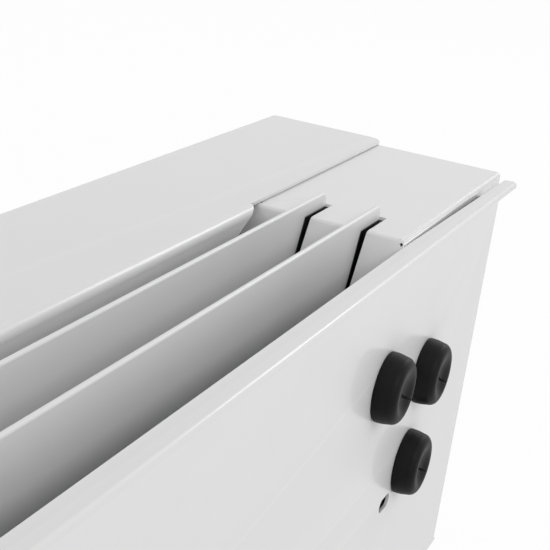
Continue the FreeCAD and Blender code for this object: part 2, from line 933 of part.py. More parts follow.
# Duct ends: upright plates that carry the fan and close the duct, folded against the wall panel
def make_duct_end(name, side, inner):
    body = new_body(name)
    outer = inner + d.sheet * side
    rear = back + d.sheet
    high = duct_top
    low, far = (inner, outer) if side > 0 else (outer, inner)
    # The lower rear corner clears the bend of the wall panel
    face = front - d.sheet - d.seam - d.cover_bend
    plate = [(rear, d.sheet + d.bend), (rear + d.bend, d.sheet), (face, d.sheet), (face, high), (rear, high)]
    pad_loops(body, "YZ_Plane", low, far, [plate])
    fold = rectangle((inner, rear), (inner + d.duct_flange * side, rear + d.sheet))
    pad_loops(body, "XY_Plane", d.duct_flange_low, d.duct_flange_high, [fold])
    holes = [(fan_place, d.shaft_hole if side > 0 else d.bearing_hole)]
    for place in heaters.values():
        holes.append(((place, heater_height), d.heater_radius + d.heater_clearance))
    cut_circles(body, "YZ_Plane", holes)


# Scroll: the rear air guide, an arc under and behind the fan that runs up to the outlet
def make_scroll():
    body = new_body("scroll_plate")
    middle = (back + d.scroll_back + d.scroll_radius, d.scroll_floor + d.scroll_radius)
    outer = d.scroll_radius + d.scroll_wall
    top = flange_top - d.scroll_top_gap
    start = on_circle(d.scroll_radius, d.scroll_start)
    start_outer = on_circle(outer, d.scroll_start)
    edge = (middle[0] + start[0], middle[1] - start[1])
    outline = [
        (*edge, -d.scroll_radius),
        (middle[0] - d.scroll_radius, middle[1]),
        (middle[0] - d.scroll_radius, top),
        (middle[0] - outer, top),
        (middle[0] - outer, middle[1], outer),
        (middle[0] + start_outer[0], middle[1] - start_outer[1]),
    ]
    pad_loops(body, "YZ_Plane", guide_left, guide_right, [outline])
    foot = rectangle((edge[0] - d.scroll_wall, d.sheet), edge)
    pad_loops(body, "YZ_Plane", guide_left, guide_right, [foot])


# Tongue: the front air guide, from the lip of the cover to a nose over the fan and on to the front
def make_tongue():
    body = new_body("tongue_plate")
    face = lip_back + d.sheet + d.seam
    limit = front - d.sheet - d.seam
    nose = (back + d.tongue_nose_back, d.tongue_nose_height)
    path = [
        (limit, d.tongue_front_height + d.tongue_flange),
        (limit, d.tongue_front_height),
        nose,
        (face, d.height - d.tongue_shoulder),
        (face, d.height - d.tongue_top),
    ]
    bent_sheet(body, path[::-1], d.scroll_wall, guide_left, guide_right, d.bend)


# Fan rotor: end discs with hubs, rings between them and curved blades through all of them
def make_rotor():
    rotor_left = left_duct + d.rotor_end_gap
    rotor_right = right_duct - d.rotor_end_gap
    body = new_body("fan_rotor", (size(0), fan_place[0], fan_place[1]))
    add_disc(body, rotor_left)
    add_blades(body, rotor_left, rotor_right)
    add_rings(body, rotor_left, rotor_right)
    add_disc(body, rotor_right - d.disc)
    add_hubs(body, rotor_left, rotor_right)


def add_disc(body, start):
    sketch = new_sketch(body, "YZ_Plane", start)
    draw_circle(sketch, (size(0), size(0)), d.rotor_radius)
    pad_sketch(body, sketch, d.disc)


def add_blades(body, rotor_left, rotor_right):
    # A blade leaves the inner circle square to it and leans over on its way out; its wall is an angle
    inner_low = on_circle(d.blade_inner, size(0))
    inner_high = on_circle(d.blade_inner, d.blade_wall)
    outer_low = on_circle(d.blade_outer, d.blade_sweep)
    outer_high = on_circle(d.blade_outer, d.blade_sweep + d.blade_wall)
    blade = [
        (*inner_low, d.blade_arc),
        outer_low,
        (*outer_high, -d.blade_arc),
        inner_high,
    ]
    # The blades end inside the discs
    sunk = d.disc / 2
    pad = pad_loops(body, "YZ_Plane", rotor_left + sunk, rotor_right - sunk, [blade])
    pattern = body.newObject("PartDesign::PolarPattern", "blades")
    pattern.Originals = [pad]
    pattern.Axis = (origin_item(body, "X_Axis"), [""])
    pattern.Angle = 360
    bind(pattern, "Occurrences", d.blade_count)
    body.Tip = pattern


def add_rings(body, rotor_left, rotor_right):
    span = (rotor_right - rotor_left - d.disc) / (d.ring_count + 1)
    sketch = new_sketch(body, "YZ_Plane", rotor_left + span)
    draw_circle(sketch, (size(0), size(0)), d.rotor_radius)
    draw_circle(sketch, (size(0), size(0)), d.ring_radius)
    ring = pad_sketch(body, sketch, d.disc)
    rings = body.newObject("PartDesign::LinearPattern", "rings")
    rings.Originals = [ring]
    rings.Direction = (origin_item(body, "X_Axis"), [""])
    bind(rings, "Length", span * (d.ring_count - 1))
    bind(rings, "Occurrences", d.ring_count)
    body.Tip = rings


def add_hubs(body, rotor_left, rotor_right):
    for start in (rotor_left, rotor_right - d.hub_length):
        sketch = new_sketch(body, "YZ_Plane", start)
        draw_circle(sketch, (size(0), size(0)), d.hub_radius)
        pad_sketch(body, sketch, d.hub_length)
    cut_circles(body, "YZ_Plane", [((size(0), size(0)), d.shaft_radius + d.running)])


# Bearing at the left end: stub shaft, bearing ring and the rubber that holds it in the duct end
def make_bearing():
    middle = left_duct - d.sheet / 2
    half = d.bearing_width / 2
    stub_left = middle - half - d.stub_reach
    stub_right = left_duct + d.rotor_end_gap + d.hub_length
    length = stub_right - stub_left
    keep("stub_shaft", cylinder("stub_shaft", "x", (stub_left, *fan_place), d.shaft_radius, length))
    bore = d.shaft_radius + d.running
    ring = [(-half, bore), (half, bore), (half, d.bearing_outer), (-half, d.bearing_outer)]
    turned_body("bearing_ring", (middle, *fan_place), ring)
    grip = d.bearing_hole - d.running
    lip = d.bearing_hole + d.rubber_lip
    groove = d.sheet / 2 + d.running
    edge = d.rubber_width / 2
    rubber = [
        (-edge, d.bearing_outer + d.running),
        (edge, d.bearing_outer + d.running),
        (edge, grip),
        (groove, lip),
        (groove, grip),
        (-groove, grip),
        (-groove, lip),
        (-edge, grip),
    ]
    turned_body("bearing_rubber", (middle, *fan_place), rubber)


# Fan motor on posts at the right duct end
def make_motor():
    seat = right_duct + d.sheet
    flange = seat + d.motor_post
    bore = d.shaft_radius + d.running
    end = d.motor_flange + d.motor_length
    outline = [
        (size(0), bore),
        (end + d.motor_boss, bore),
        (end + d.motor_boss, d.motor_boss_radius),
        (end, d.motor_boss_radius),
        (end, d.motor_radius - d.motor_edge),
        (end - d.motor_edge, d.motor_radius),
        (d.motor_flange, d.motor_radius),
        (d.motor_flange, d.motor_flange_radius),
        (size(0), d.motor_flange_radius),
    ]
    body = turned_body("fan_motor", (flange, *fan_place), outline)
    # Cooling grooves along the can
    inner = d.motor_radius - d.motor_rib_depth
    groove = rectangle((inner, -d.motor_rib / 2), (d.motor_radius + d.motor_rib, d.motor_rib / 2))
    cooling = cut_between(body, "YZ_Plane", d.motor_flange + d.motor_edge, end - d.motor_edge, [groove])
    pattern = body.newObject("PartDesign::PolarPattern", "motor_grooves")
    pattern.Originals = [cooling]
    pattern.Axis = (origin_item(body, "X_Axis"), [""])
    pattern.Angle = 360
    bind(pattern, "Occurrences", d.motor_rib_count)
    body.Tip = pattern
    posts = []
    for index in range(int(d.motor_post_count.value)):
        turn = 360 / d.motor_post_count
        across, up = on_circle(d.motor_post_circle, turn / 2 + turn * index)
        start = (seat, fan_place[0] + across, fan_place[1] + up)
        posts.append(cylinder("motor_post", "x", start, d.motor_post_radius, d.motor_post))
    group("motor_posts", posts)
    shaft_left = right_duct - d.rotor_end_gap - d.hub_length
    length = flange + end + d.motor_boss + d.motor_shaft_out - shaft_left
    keep("motor_shaft", cylinder("motor_shaft", "x", (shaft_left, *fan_place), d.shaft_radius, length))


# Heating elements: straight tubes across the duct, with a terminal pin at the right end
def make_heater(name, place):
    left = left_duct - d.sheet - d.heater_left_out
    right = right_duct + d.sheet + d.heater_right_out
    cap = right + d.heater_cap
    outline = [
        (left, size(0)),
        (cap + d.heater_pin, size(0)),
        (cap + d.heater_pin, d.heater_pin_radius),
        (cap, d.heater_pin_radius),
        (cap, d.heater_cap_radius),
        (right, d.heater_cap_radius),
        (right, d.heater_radius),
        (left, d.heater_radius),
    ]
    turned_body(name, (size(0), place, heater_height), outline)


def make_thermal_cutout():
    seat = right_duct + d.sheet
    place = (back + d.cutout_back, duct_top - d.cutout_drop)
    parts = [cylinder("cutout_can", "x", (seat, *place), d.cutout_radius, d.cutout_depth)]
    for side in (-1, 1):
        middle = place[0] + d.cutout_radius / 2 * side
        low = (seat + d.cutout_depth, middle - d.cutout_tab / 4, place[1] - d.cutout_tab / 2)
        high = (seat + d.cutout_depth + d.sheet, middle + d.cutout_tab / 4, place[1] + d.cutout_tab / 2)
        parts.append(box("cutout_tab", low, high))
    keep("thermal_cutout", fuse("thermal_cutout", parts))


# Terminals on a hat rail behind the wall panel
def make_terminals():
    left = end_edge - d.rail_start
    rear = back + d.sheet
    low, high = d.rail_low, d.rail_low + d.rail_width
    brim = (d.rail_width - d.rail_crown) / 2
    wall = d.rail_wall
    depth = d.rail_depth
    profile = [
        (rear, low + brim),
        (rear + depth - wall, low + brim),
        (rear + depth - wall, low),
        (rear + depth, low),
        (rear + depth, low + brim + wall),
        (rear + wall, low + brim + wall),
        (rear + wall, high - brim - wall),
        (rear + depth, high - brim - wall),
        (rear + depth, high),
        (rear + depth - wall, high),
        (rear + depth - wall, high - brim),
        (rear, high - brim),
    ]
    body = new_body("terminal_rail")
    pad_loops(body, "YZ_Plane", left, left + d.rail_length, [profile])
    face = rear + depth
    block_left = left + d.terminal_margin
    width = d.terminal_pitch * d.terminal_count
    base = face + d.terminal_depth
    crown = (d.rail_width - d.terminal_cap) / 2
    outline = [
        (face, low),
        (face + d.terminal_step, low),
        (base, low + crown),
        (base, high - crown),
        (face + d.terminal_step, high),
        (face, high),
    ]
    body = new_body("terminal_block")
    pad_loops(body, "YZ_Plane", block_left, block_left + width, [outline])
    sketch = new_sketch(body, "XZ_Plane", -(base - d.terminal_well))
    for row in (low + crown + d.terminal_screw * 2, high - crown - d.terminal_screw * 2):
        draw_circle(sketch, (block_left + d.terminal_pitch / 2, row), d.terminal_screw)
    wells = body.newObject("PartDesign::Pocket", "terminal_wells")
    wells.Profile = sketch
    bind(wells, "Length", d.terminal_well + d.sheet)
    pattern = body.newObject("PartDesign::LinearPattern", "terminal_row")
    pattern.Originals = [wells]
    pattern.Direction = (origin_item(body, "X_Axis"), [""])
    bind(pattern, "Length", d.terminal_pitch * (d.terminal_count - 1))
    bind(pattern, "Occurrences", d.terminal_count)
    body.Tip = pattern


# Control board on posts at the right side panel, with two relays
def make_board():
    wall = end_edge - d.side_set - d.sheet
    face = wall - d.board_post
    inner = face - d.board_thick
    rear, high = back + d.board_back, d.height - d.board_drop
    low = high - d.board_tall
    keep("control_board", box("control_board", (inner, rear, low), (face, rear + d.board_wide, high)))
    posts = []
    for across in (rear + d.board_edge, rear + d.board_wide - d.board_edge):
        for up in (low + d.board_edge, high - d.board_edge):
            posts.append(cylinder("board_post", "x", (face, across, up), d.board_post_radius, d.board_post))
    group("board_posts", posts)
    relays = []
    for index in range(2):
        start = rear + d.relay_margin + d.relay_pitch * index
        base = low + d.relay_margin
        low_corner = (inner - d.relay_deep, start, base)
        relays.append(box("relay", low_corner, (inner, start + d.relay_wide, base + d.relay_tall)))
    group("relays", relays)


# Motor capacitor in a spring clip on the wall panel
def make_capacitor():
    left = end_edge - d.capacitor_from_end
    rear = back + d.sheet
    radius = d.capacitor_radius
    ring = radius + d.running
    wall = d.clip_wall
    axis = rear + ring + wall
    can = [
        (size(0), size(0)),
        (d.capacitor_length + d.capacitor_cap, size(0)),
        (d.capacitor_length + d.capacitor_cap, radius / 2),
        (d.capacitor_length, radius / 2),
        (d.capacitor_length, radius - d.sheet),
        (d.capacitor_length - d.sheet, radius),
        (size(0), radius),
    ]
    turned_body("fan_capacitor", (left, axis, d.capacitor_height), can)
    body = new_body("capacitor_clip", (size(0), axis, d.capacitor_height))
    start = left + (d.capacitor_length - d.clip_width) / 2
    sketch = new_sketch(body, "YZ_Plane", start)
    draw_circle(sketch, (size(0), size(0)), ring + wall)
    draw_circle(sketch, (size(0), size(0)), ring)
    pad_sketch(body, sketch, d.clip_width)
    # Open towards the front so that the can snaps in
    mouth = rectangle((ring / 2, -(d.clip_mouth / 2)), (ring + wall * 2, d.clip_mouth / 2))
    cut_loops(body, "YZ_Plane", [mouth])


def make_earth_stud():
    across, up = end_edge - d.earth_from_end, d.earth_height
    rear = back + d.sheet
    foot = (across, rear, up)
    bore = d.earth_radius + d.running
    keep("earth_stud", cylinder("earth_stud", "y", foot, d.earth_radius, d.earth_length))
    washer = cylinder("washer_disc", "y", foot, d.earth_washer, d.earth_washer_thick)
    hole = cylinder("washer_hole", "y", foot, bore, d.earth_length)
    keep("earth_washer", cut("earth_washer", washer, [hole]))
    prism = doc.addObject("Part::Prism", "nut_prism")
    prism.Polygon = 6
    bind(prism, "Circumradius", d.earth_nut)
    bind(prism, "Height", d.earth_nut_thick)
    prism.Placement = FreeCAD.Placement(FreeCAD.Vector(), TURNS["y"])
    for letter, value in zip("xyz", (across, rear + d.earth_washer_thick, up)):
        bind(prism, "Placement.Base." + letter, value)
    hole = cylinder("nut_hole", "y", foot, bore, d.earth_length)
    keep("earth_nut", cut("earth_nut", prism, [hole]))


# Saddle that clamps the supply cable to the wall panel
def make_saddle():
    middle, height = end_edge - d.saddle_from_end, d.saddle_height
    rear = back + d.sheet
    body = new_body("cable_saddle", (middle, rear, height))
    outer = d.saddle_bore + d.saddle_wall
    half = d.saddle_wide / 2
    arch = [
        (half, size(0)),
        (half, d.saddle_foot),
        (outer, d.saddle_foot),
        (outer, d.saddle_bore, outer),
        (size(0), d.saddle_bore + outer, outer),
        (-outer, d.saddle_bore),
        (-outer, d.saddle_foot),
        (-half, d.saddle_foot),
        (-half, size(0)),
        (-d.saddle_bore, size(0)),
        (-d.saddle_bore, d.saddle_bore, -d.saddle_bore),
        (size(0), d.saddle_bore * 2, -d.saddle_bore),
        (d.saddle_bore, d.saddle_bore),
        (d.saddle_bore, size(0)),
    ]
    pad_loops(body, "XY_Plane", -(d.saddle_tall / 2), d.saddle_tall / 2, [arch])
    spot = (half + outer) / 2
    cut_circles(body, "XZ_Plane", [((spot, size(0)), d.saddle_hole), ((-spot, size(0)), d.saddle_hole)])


# Countersunk screws through the cover's base plate into the side panels
def make_cover_screws():
    screws = []
    for across, place in screw_places:
        head = doc.addObject("Part::Cone", "screw_head")
        bind(head, "Radius1", d.screw_head - d.screw_sink)
        bind(head, "Radius2", d.screw_radius)
        bind(head, "Height", d.screw_head - d.screw_sink - d.screw_radius)
        for letter, value in zip("xyz", (across, place, d.screw_sink)):
            bind(head, "Placement.Base." + letter, value)
        start = (across, place, d.screw_sink)
        shank = cylinder("screw_shank", "z", start, d.screw_radius, d.screw_length)
        screws.append(fuse("cover_screw", [head, shank]))
    group("cover_screws", screws)


make_back_panel()
make_front_cover()
make_outlet_end("outlet_end_right", 1, right_bend)
make_outlet_end("outlet_end_left", -1, left_bend)
make_side_panel("side_panel_right", 1)
make_side_panel("side_panel_left", -1)
for name, place in vanes.items():
    make_vane("vane_" + name, place)
    make_rod("vane_rod_" + name, place)
make_vane_bracket("vane_bracket_right", 1, vane_right)
make_vane_bracket("vane_bracket_left", -1, vane_left)
for name, place in entries.items():
    make_grommet("cable_grommet_" + name, place)
make_duct_end("duct_end_right", 1, right_duct)
make_duct_end("duct_end_left", -1, left_duct)
make_scroll()
make_tongue()
make_rotor()
make_bearing()
make_motor()
for name, place in heaters.items():
    make_heater("heating_element_" + name, place)
make_thermal_cutout()
make_terminals()
make_board()
make_capacitor()
make_earth_stud()
make_saddle()
make_cover_screws()

doc.recompute()
for item in doc.Objects:
    if "Invalid" in item.State or "Error" in item.State:
        raise RuntimeError("%s failed: %s" % (item.Label, item.State))
for name, item in nodes.items():
    if item.Shape.isNull() or not item.Shape.isValid():
        raise RuntimeError("%s has no valid shape" % name)

os.makedirs("parts", exist_ok=True)
for name, item in nodes.items():
    item.Shape.exportStep("parts/%s.step" % name)
    extent = item.Shape.BoundBox
    print("%-22s solids %d  volume %9.0f  size %7.1f %6.1f %6.1f" % (
        name, len(item.Shape.Solids), item.Shape.Volume, extent.XLength, extent.YLength, extent.ZLength))
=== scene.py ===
import json
import math
import bmesh
import bpy
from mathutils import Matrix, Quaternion, Vector

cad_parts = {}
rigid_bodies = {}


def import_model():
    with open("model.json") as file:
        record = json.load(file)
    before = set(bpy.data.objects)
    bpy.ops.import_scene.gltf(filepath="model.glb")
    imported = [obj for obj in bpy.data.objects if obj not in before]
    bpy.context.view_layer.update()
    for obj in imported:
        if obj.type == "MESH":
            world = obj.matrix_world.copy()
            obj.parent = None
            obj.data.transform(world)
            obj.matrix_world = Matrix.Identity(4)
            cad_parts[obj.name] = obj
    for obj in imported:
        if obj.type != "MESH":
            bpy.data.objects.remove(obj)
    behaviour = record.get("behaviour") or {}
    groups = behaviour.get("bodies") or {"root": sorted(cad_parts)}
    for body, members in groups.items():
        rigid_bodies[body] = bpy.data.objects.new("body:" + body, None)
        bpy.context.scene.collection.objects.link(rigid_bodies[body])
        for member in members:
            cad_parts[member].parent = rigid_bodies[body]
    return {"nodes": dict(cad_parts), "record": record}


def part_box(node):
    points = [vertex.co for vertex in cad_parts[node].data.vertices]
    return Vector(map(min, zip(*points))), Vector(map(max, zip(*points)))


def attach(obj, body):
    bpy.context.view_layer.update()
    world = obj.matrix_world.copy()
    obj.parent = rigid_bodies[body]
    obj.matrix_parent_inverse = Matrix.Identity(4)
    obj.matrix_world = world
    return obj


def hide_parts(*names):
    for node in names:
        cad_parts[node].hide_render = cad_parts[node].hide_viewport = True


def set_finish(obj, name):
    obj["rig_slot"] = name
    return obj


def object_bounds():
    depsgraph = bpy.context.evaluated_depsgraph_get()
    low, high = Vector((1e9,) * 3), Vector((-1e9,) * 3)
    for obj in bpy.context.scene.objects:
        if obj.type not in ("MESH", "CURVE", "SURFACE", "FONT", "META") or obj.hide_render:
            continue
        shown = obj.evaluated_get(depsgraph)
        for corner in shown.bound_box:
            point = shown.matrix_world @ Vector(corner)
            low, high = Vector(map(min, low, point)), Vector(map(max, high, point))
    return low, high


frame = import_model()
nodes = frame["nodes"]
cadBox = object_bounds()
mm = 0.001
print("frame loaded:", len(nodes), "nodes")

# places that several pieces share, read from the frame
panelLow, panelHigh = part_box("back_panel")
coverLow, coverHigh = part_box("front_cover")
rightLow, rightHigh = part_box("outlet_end_right")
leftLow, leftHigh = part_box("outlet_end_left")
scrollLow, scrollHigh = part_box("scroll_plate")
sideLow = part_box("side_panel_right")[0]
casing = {
    "sheet": 1.5 * mm,
    "inside": 1.5 * mm,  # inside radius of a plain fold
    "seam": 0.4 * mm,
    "relief": 2.5 * mm,
    "slopeRun": 40 * mm,
    "outletFront": 82.4 * mm,  # from the wall panel to the outlet's front edge
    "edge": 0.35 * mm,  # rounding of a coated cut edge
    "flat": 2.0 * mm,  # faces at least this wide are shaded flat
    "straight": 0.01,  # a smaller turn of a section, in radians, is no fold
}
rightBend = rightLow.x + casing["slopeRun"]
leftBend = leftHigh.x - casing["slopeRun"]
plateTop = rightHigh.z
lipBack = panelLow.y + casing["outletFront"]


# mesh helpers
def newPiece(name, verts, faces):
    mesh = bpy.data.meshes.new(name)
    mesh.from_pydata(verts, [], faces)
    work = bmesh.new()
    work.from_mesh(mesh)
    bmesh.ops.remove_doubles(work, verts=work.verts, dist=1e-7)
    bmesh.ops.recalc_face_normals(work, faces=work.faces)
    work.to_mesh(mesh)
    work.free()
    piece = bpy.data.objects.new(name, mesh)
    bpy.context.scene.collection.objects.link(piece)
    return piece


def turned(point, angle):
    return Vector((point.x * math.cos(angle) - point.y * math.sin(angle),
                   point.x * math.sin(angle) + point.y * math.cos(angle)))


def standAt(point, level, along):
    # a point of a flat section, set at a level along the section's own axis
    if along == "x":
        return (level, point[0], point[1])
    if along == "y":
        return (point[0], level, point[1])
    return (point[0], point[1], level)


def bentSheet(path, thickness, inside, steps=10):
    # both faces of a folded sheet; the second face lies to the left of the path
    points = [Vector(point) for point in path]
    near, far = [], []
    for index, here in enumerate(points):
        before = here - points[index - 1] if index else points[1] - here
        after = points[index + 1] - here if index + 1 < len(points) else before
        turn = math.atan2(before.x * after.y - before.y * after.x, before.dot(after))
        side = Vector((-before.y, before.x)).normalized()
        radius = inside + thickness if turn > 0 else -inside
        start = here - before.normalized() * abs(radius) * math.tan(abs(turn) / 2)
        centre = start + side * radius
        count = steps if abs(turn) > casing["straight"] else 0
        for step in range(count + 1):
            spoke = turned(side, turn * step / max(count, 1))
            near.append(centre - spoke * radius)
            far.append(centre - spoke * (radius - thickness))
    return near, far


def sheetBar(name, near, far, low, high, along="x"):
    # a folded section drawn out along one axis
    count = len(near)
    verts = [standAt(point, level, along) for level in (low, high) for face in (near, far) for point in face]
    faces = []
    for step in range(count - 1):
        for face in (0, count):
            first = face + step
            faces.append((first, first + 1, first + 1 + 2 * count, first + 2 * count))
        for level in (0, 2 * count):
            first = level + step
            faces.append((first, first + 1, first + 1 + count, first + count))
    for step in (0, count - 1):
        faces.append((step, step + count, step + 3 * count, step + 2 * count))
    return newPiece(name, verts, faces)


def blocks(name, outlines, low, high, along):
    # solids drawn out from closed outlines
    verts, faces = [], []
    for outline in outlines:
        first, count = len(verts), len(outline)
        verts += [standAt(point, level, along) for level in (low, high) for point in outline]
        faces.append(tuple(range(first, first + count)))
        faces.append(tuple(range(first + count, first + 2 * count)))
        for step in range(count):
            after = (step + 1) % count
            faces.append((first + step, first + after, first + count + after, first + count + step))
    return newPiece(name, verts, faces)


def rectangle(low, high):
    return [low, (high[0], low[1]), high, (low[0], high[1])]


def roundOutline(centre, wide, tall, steps=24):
    # a circle, or a slot with round ends where it is wider than tall
    reach = max(wide - tall, 0) / 2
    points = []
    for step in range(steps):
        angle = 2 * math.pi * (step + 0.5) / steps
        shift = reach if math.cos(angle) > 0 else -reach
        across, up = tall / 2 * math.cos(angle), tall / 2 * math.sin(angle)
        points.append((centre[0] + shift + across, centre[1] + up))
    return points


def cornerOutline(corner, inward, radius, steps=8):
    # the tip outside a rounded corner; inward points from the corner into the sheet
    centre = [place + radius * way for place, way in zip(corner, inward)]
    points = [corner]
    for step in range(steps + 1):
        angle = math.pi / 2 * step / steps
        out = radius * math.sin(angle), radius * math.cos(angle)
        points.append((centre[0] - inward[0] * out[0], centre[1] - inward[1] * out[1]))
    return points


def combine(piece, other, operation):
    cut = piece.modifiers.new("combine", "BOOLEAN")
    cut.object = other
    cut.operation = operation
    cut.solver = "EXACT"
    shaped = piece.evaluated_get(bpy.context.evaluated_depsgraph_get())
    mesh = bpy.data.meshes.new_from_object(shaped)
    piece.modifiers.clear()
    piece.data = mesh
    bpy.data.objects.remove(other)
    return piece


def softEdges(piece, width, segments=3, angle=32):
    spots = piece.data.vertices
    for face in piece.data.polygons:
        longest = max((spots[first].co - spots[second].co).length for first, second in face.edge_keys)
        face.use_smooth = face.area < longest * casing["flat"]
    bevel = piece.modifiers.new("softEdges", "BEVEL")
    bevel.width = width
    bevel.segments = segments
    bevel.limit_method = "ANGLE"
    bevel.angle_limit = math.radians(angle)
    bevel.miter_outer = "MITER_ARC"
    return piece


def standFor(piece, node, body, slot):
    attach(piece, body)
    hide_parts(node)
    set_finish(piece, slot)
    return piece


# wall panel: flat sheet, narrow flange along the outlet, return along the base, ends folded in
wallPanel = {
    "flange": 10.0 * mm,
    "inside": 0.5 * mm,
    "inset": 35.3 * mm,  # the panel ends this far inside the flange's tips
    "taper": 3.2 * mm,  # the flange narrows by this much beside the end plates
    "tipRound": 3.0 * mm,
    "entryRadius": 12.5 * mm,
    "entrySteps": 64,
    "fixingAway": 330 * mm,
    "fixingSlot": (14 * mm, 7 * mm),
    "fixingRows": (30 * mm, 80 * mm),
    "fixingSteps": 32,
}


def makeWallPanel():
    back, top, reach = panelLow.y, panelHigh.z, panelHigh.x
    sheet, inside = casing["sheet"], casing["inside"]
    radius = sheet + inside
    edge, fold = reach - wallPanel["inset"], sideLow.y - casing["seam"]
    path = [(back + wallPanel["flange"], top), (back, top), (back, panelLow.z), (panelHigh.y, panelLow.z)]
    piece = sheetBar("wallPanel", *bentSheet(path, sheet, wallPanel["inside"]), -reach, reach)
    ends, feet, tapers, corners = [], [], [], []
    inner, tip = back + wallPanel["flange"], wallPanel["tipRound"]
    narrow = inner - wallPanel["taper"]
    for side, bend in ((-1, leftBend), (1, rightBend)):
        beyond = side * (reach + sheet)
        ends.append(rectangle((side * (edge - radius), radius), (beyond, top - radius)))
        feet.append(rectangle((side * edge, back - sheet), (beyond, sideLow.y)))
        tapers.append([(bend, inner), (side * reach, narrow), (beyond, narrow), (beyond, inner + sheet),
                       (bend, inner + sheet)])
        corners.append(cornerOutline((side * reach, narrow), (-side, -1), tip))
    combine(piece, blocks("ends", ends, back - sheet, panelHigh.y + sheet, "y"), "DIFFERENCE")
    combine(piece, blocks("feet", feet, panelLow.z - sheet, radius, "z"), "DIFFERENCE")
    combine(piece, blocks("tapers", tapers, top - 2 * sheet, top + sheet, "z"), "DIFFERENCE")
    combine(piece, blocks("corners", corners, top - 2 * sheet, top + sheet, "z"), "DIFFERENCE")
    for path in ([(edge - radius, back), (edge, back), (edge, fold)],
                 [(-edge, fold), (-edge, back), (radius - edge, back)]):
        combine(piece, sheetBar("fold", *bentSheet(path, sheet, inside), radius, top - radius, "z"), "UNION")
    holes = []
    for name in ("inner", "outer", "lower"):
        low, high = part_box("cable_grommet_" + name)
        middle, width = (low + high) / 2, 2 * wallPanel["entryRadius"]
        holes.append(roundOutline((middle.x, middle.z), width, width, wallPanel["entrySteps"]))
    for side in (-1, 1):
        for row in wallPanel["fixingRows"]:
            spot = (side * wallPanel["fixingAway"], row)
            holes.append(roundOutline(spot, *wallPanel["fixingSlot"], wallPanel["fixingSteps"]))
    combine(piece, blocks("holes", holes, back - sheet, back + 2 * sheet, "y"), "DIFFERENCE")
    softEdges(piece, casing["edge"])
    return standFor(piece, "back_panel", "casing", "casing_white")


# front cover: outlet plate, front with the intake slots, base plate, and a lip rolled down into the outlet
frontCover = {
    "inside": 4.0 * mm,
    "lipRadius": 4.5 * mm,
    "lipLeg": 9.0 * mm,
    "lipInset": 8.5 * mm,  # from the slope's bend to the lip's end
    "lipMitre": ((4.5 * mm, 1.9 * mm), (32.0 * mm, 15.0 * mm)),  # (inward, down) along the lip's end
    "lipRelief": 1.2 * mm,
    "lipSteps": 20,
    "intakeLow": 16 * mm,
    "intakeSlot": (58 * mm, 6 * mm),
    "intakePitch": (67 * mm, 13 * mm),
    "intakeCount": (10, 8),
    "screwHead": 4.15 * mm,
    "screwFrom": 40 * mm,
    "screwPitch": 40 * mm,
    "screwCount": 3,
    "screwSteps": 32,
    "cornerRound": 8.0 * mm,
    "edge": 0.3 * mm,
}
lipStart = lipBack + casing["seam"]


def makeFrontCover():
    sheet, inset, radius = casing["sheet"], frontCover["lipInset"], frontCover["lipRadius"]
    face, top, reach = coverHigh.y, coverHigh.z, coverHigh.x
    path = [(coverLow.y, coverLow.z), (face, coverLow.z), (face, top), (lipBack, top)]
    piece = sheetBar("frontCover", *bentSheet(path, sheet, frontCover["inside"]), -reach, reach)
    left, right = leftBend + inset, rightBend - inset
    slit = frontCover["lipRelief"]
    notch = [rectangle((left - slit, lipBack - sheet), (right + slit, lipStart))]
    combine(piece, blocks("notch", notch, plateTop - sheet, top + sheet, "z"), "DIFFERENCE")
    rear, foot = lipStart - radius, top - radius - frontCover["lipLeg"]
    path = [(lipStart + casing["seam"], top), (rear, top), (rear, foot)]
    lip = sheetBar("lip", *bentSheet(path, sheet, radius - sheet, frontCover["lipSteps"]), left, right)
    ends, corners = [], []
    for side, end in ((-1, left), (1, right)):
        corners.append(cornerOutline((side * reach, lipBack), (-side, 1), frontCover["cornerRound"]))
        mitre = [(end - side * inward, top - down) for inward, down in frontCover["lipMitre"]]
        past = end + side * sheet
        ends.append([(end, top + sheet), (end, top), *mitre, (past, mitre[-1][1]), (past, top + sheet)])
    combine(lip, blocks("ends", ends, rear - sheet, lipStart + sheet, "y"), "DIFFERENCE")
    combine(piece, lip, "UNION")
    combine(piece, blocks("corners", corners, top - 2 * sheet, top + sheet, "z"), "DIFFERENCE")
    slots = []
    length, width = frontCover["intakeSlot"]
    columns, rows = frontCover["intakeCount"]
    middle = (scrollLow.x + scrollHigh.x) / 2
    for column in range(columns):
        left = middle + (column - (columns - 1) / 2) * frontCover["intakePitch"][0] - length / 2
        for row in range(rows):
            low = frontCover["intakeLow"] + row * frontCover["intakePitch"][1]
            slots.append(rectangle((left, low), (left + length, low + width)))
    combine(piece, blocks("slots", slots, face - 2 * sheet, face + sheet, "y"), "DIFFERENCE")
    combine(piece, screwSinks(), "DIFFERENCE")
    softEdges(piece, frontCover["edge"])
    return standFor(piece, "front_cover", "casing", "casing_white")


def screwSinks():
    # countersinks in the base plate, wider at the outside
    screwLow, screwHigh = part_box("cover_screws")
    sheet, steps = casing["sheet"], frontCover["screwSteps"]
    across = screwHigh.x - (screwHigh.y - screwLow.y - 2 * frontCover["screwPitch"]) / 2
    verts, faces = [], []
    for side in (-1, 1):
        for index in range(frontCover["screwCount"]):
            along = panelLow.y + frontCover["screwFrom"] + index * frontCover["screwPitch"]
            first = len(verts)
            for level in (coverLow.z - sheet, coverLow.z + 2 * sheet):
                size = 2 * (frontCover["screwHead"] - level)
                for spot in roundOutline((side * across, along), size, size, steps):
                    verts.append((*spot, level))
            faces.append(tuple(range(first, first + steps)))
            faces.append(tuple(range(first + steps, first + 2 * steps)))
            for step in range(steps):
                after = (step + 1) % steps
                faces.append((first + step, first + after, first + steps + after, first + steps + step))
    return newPiece("sinks", verts, faces)


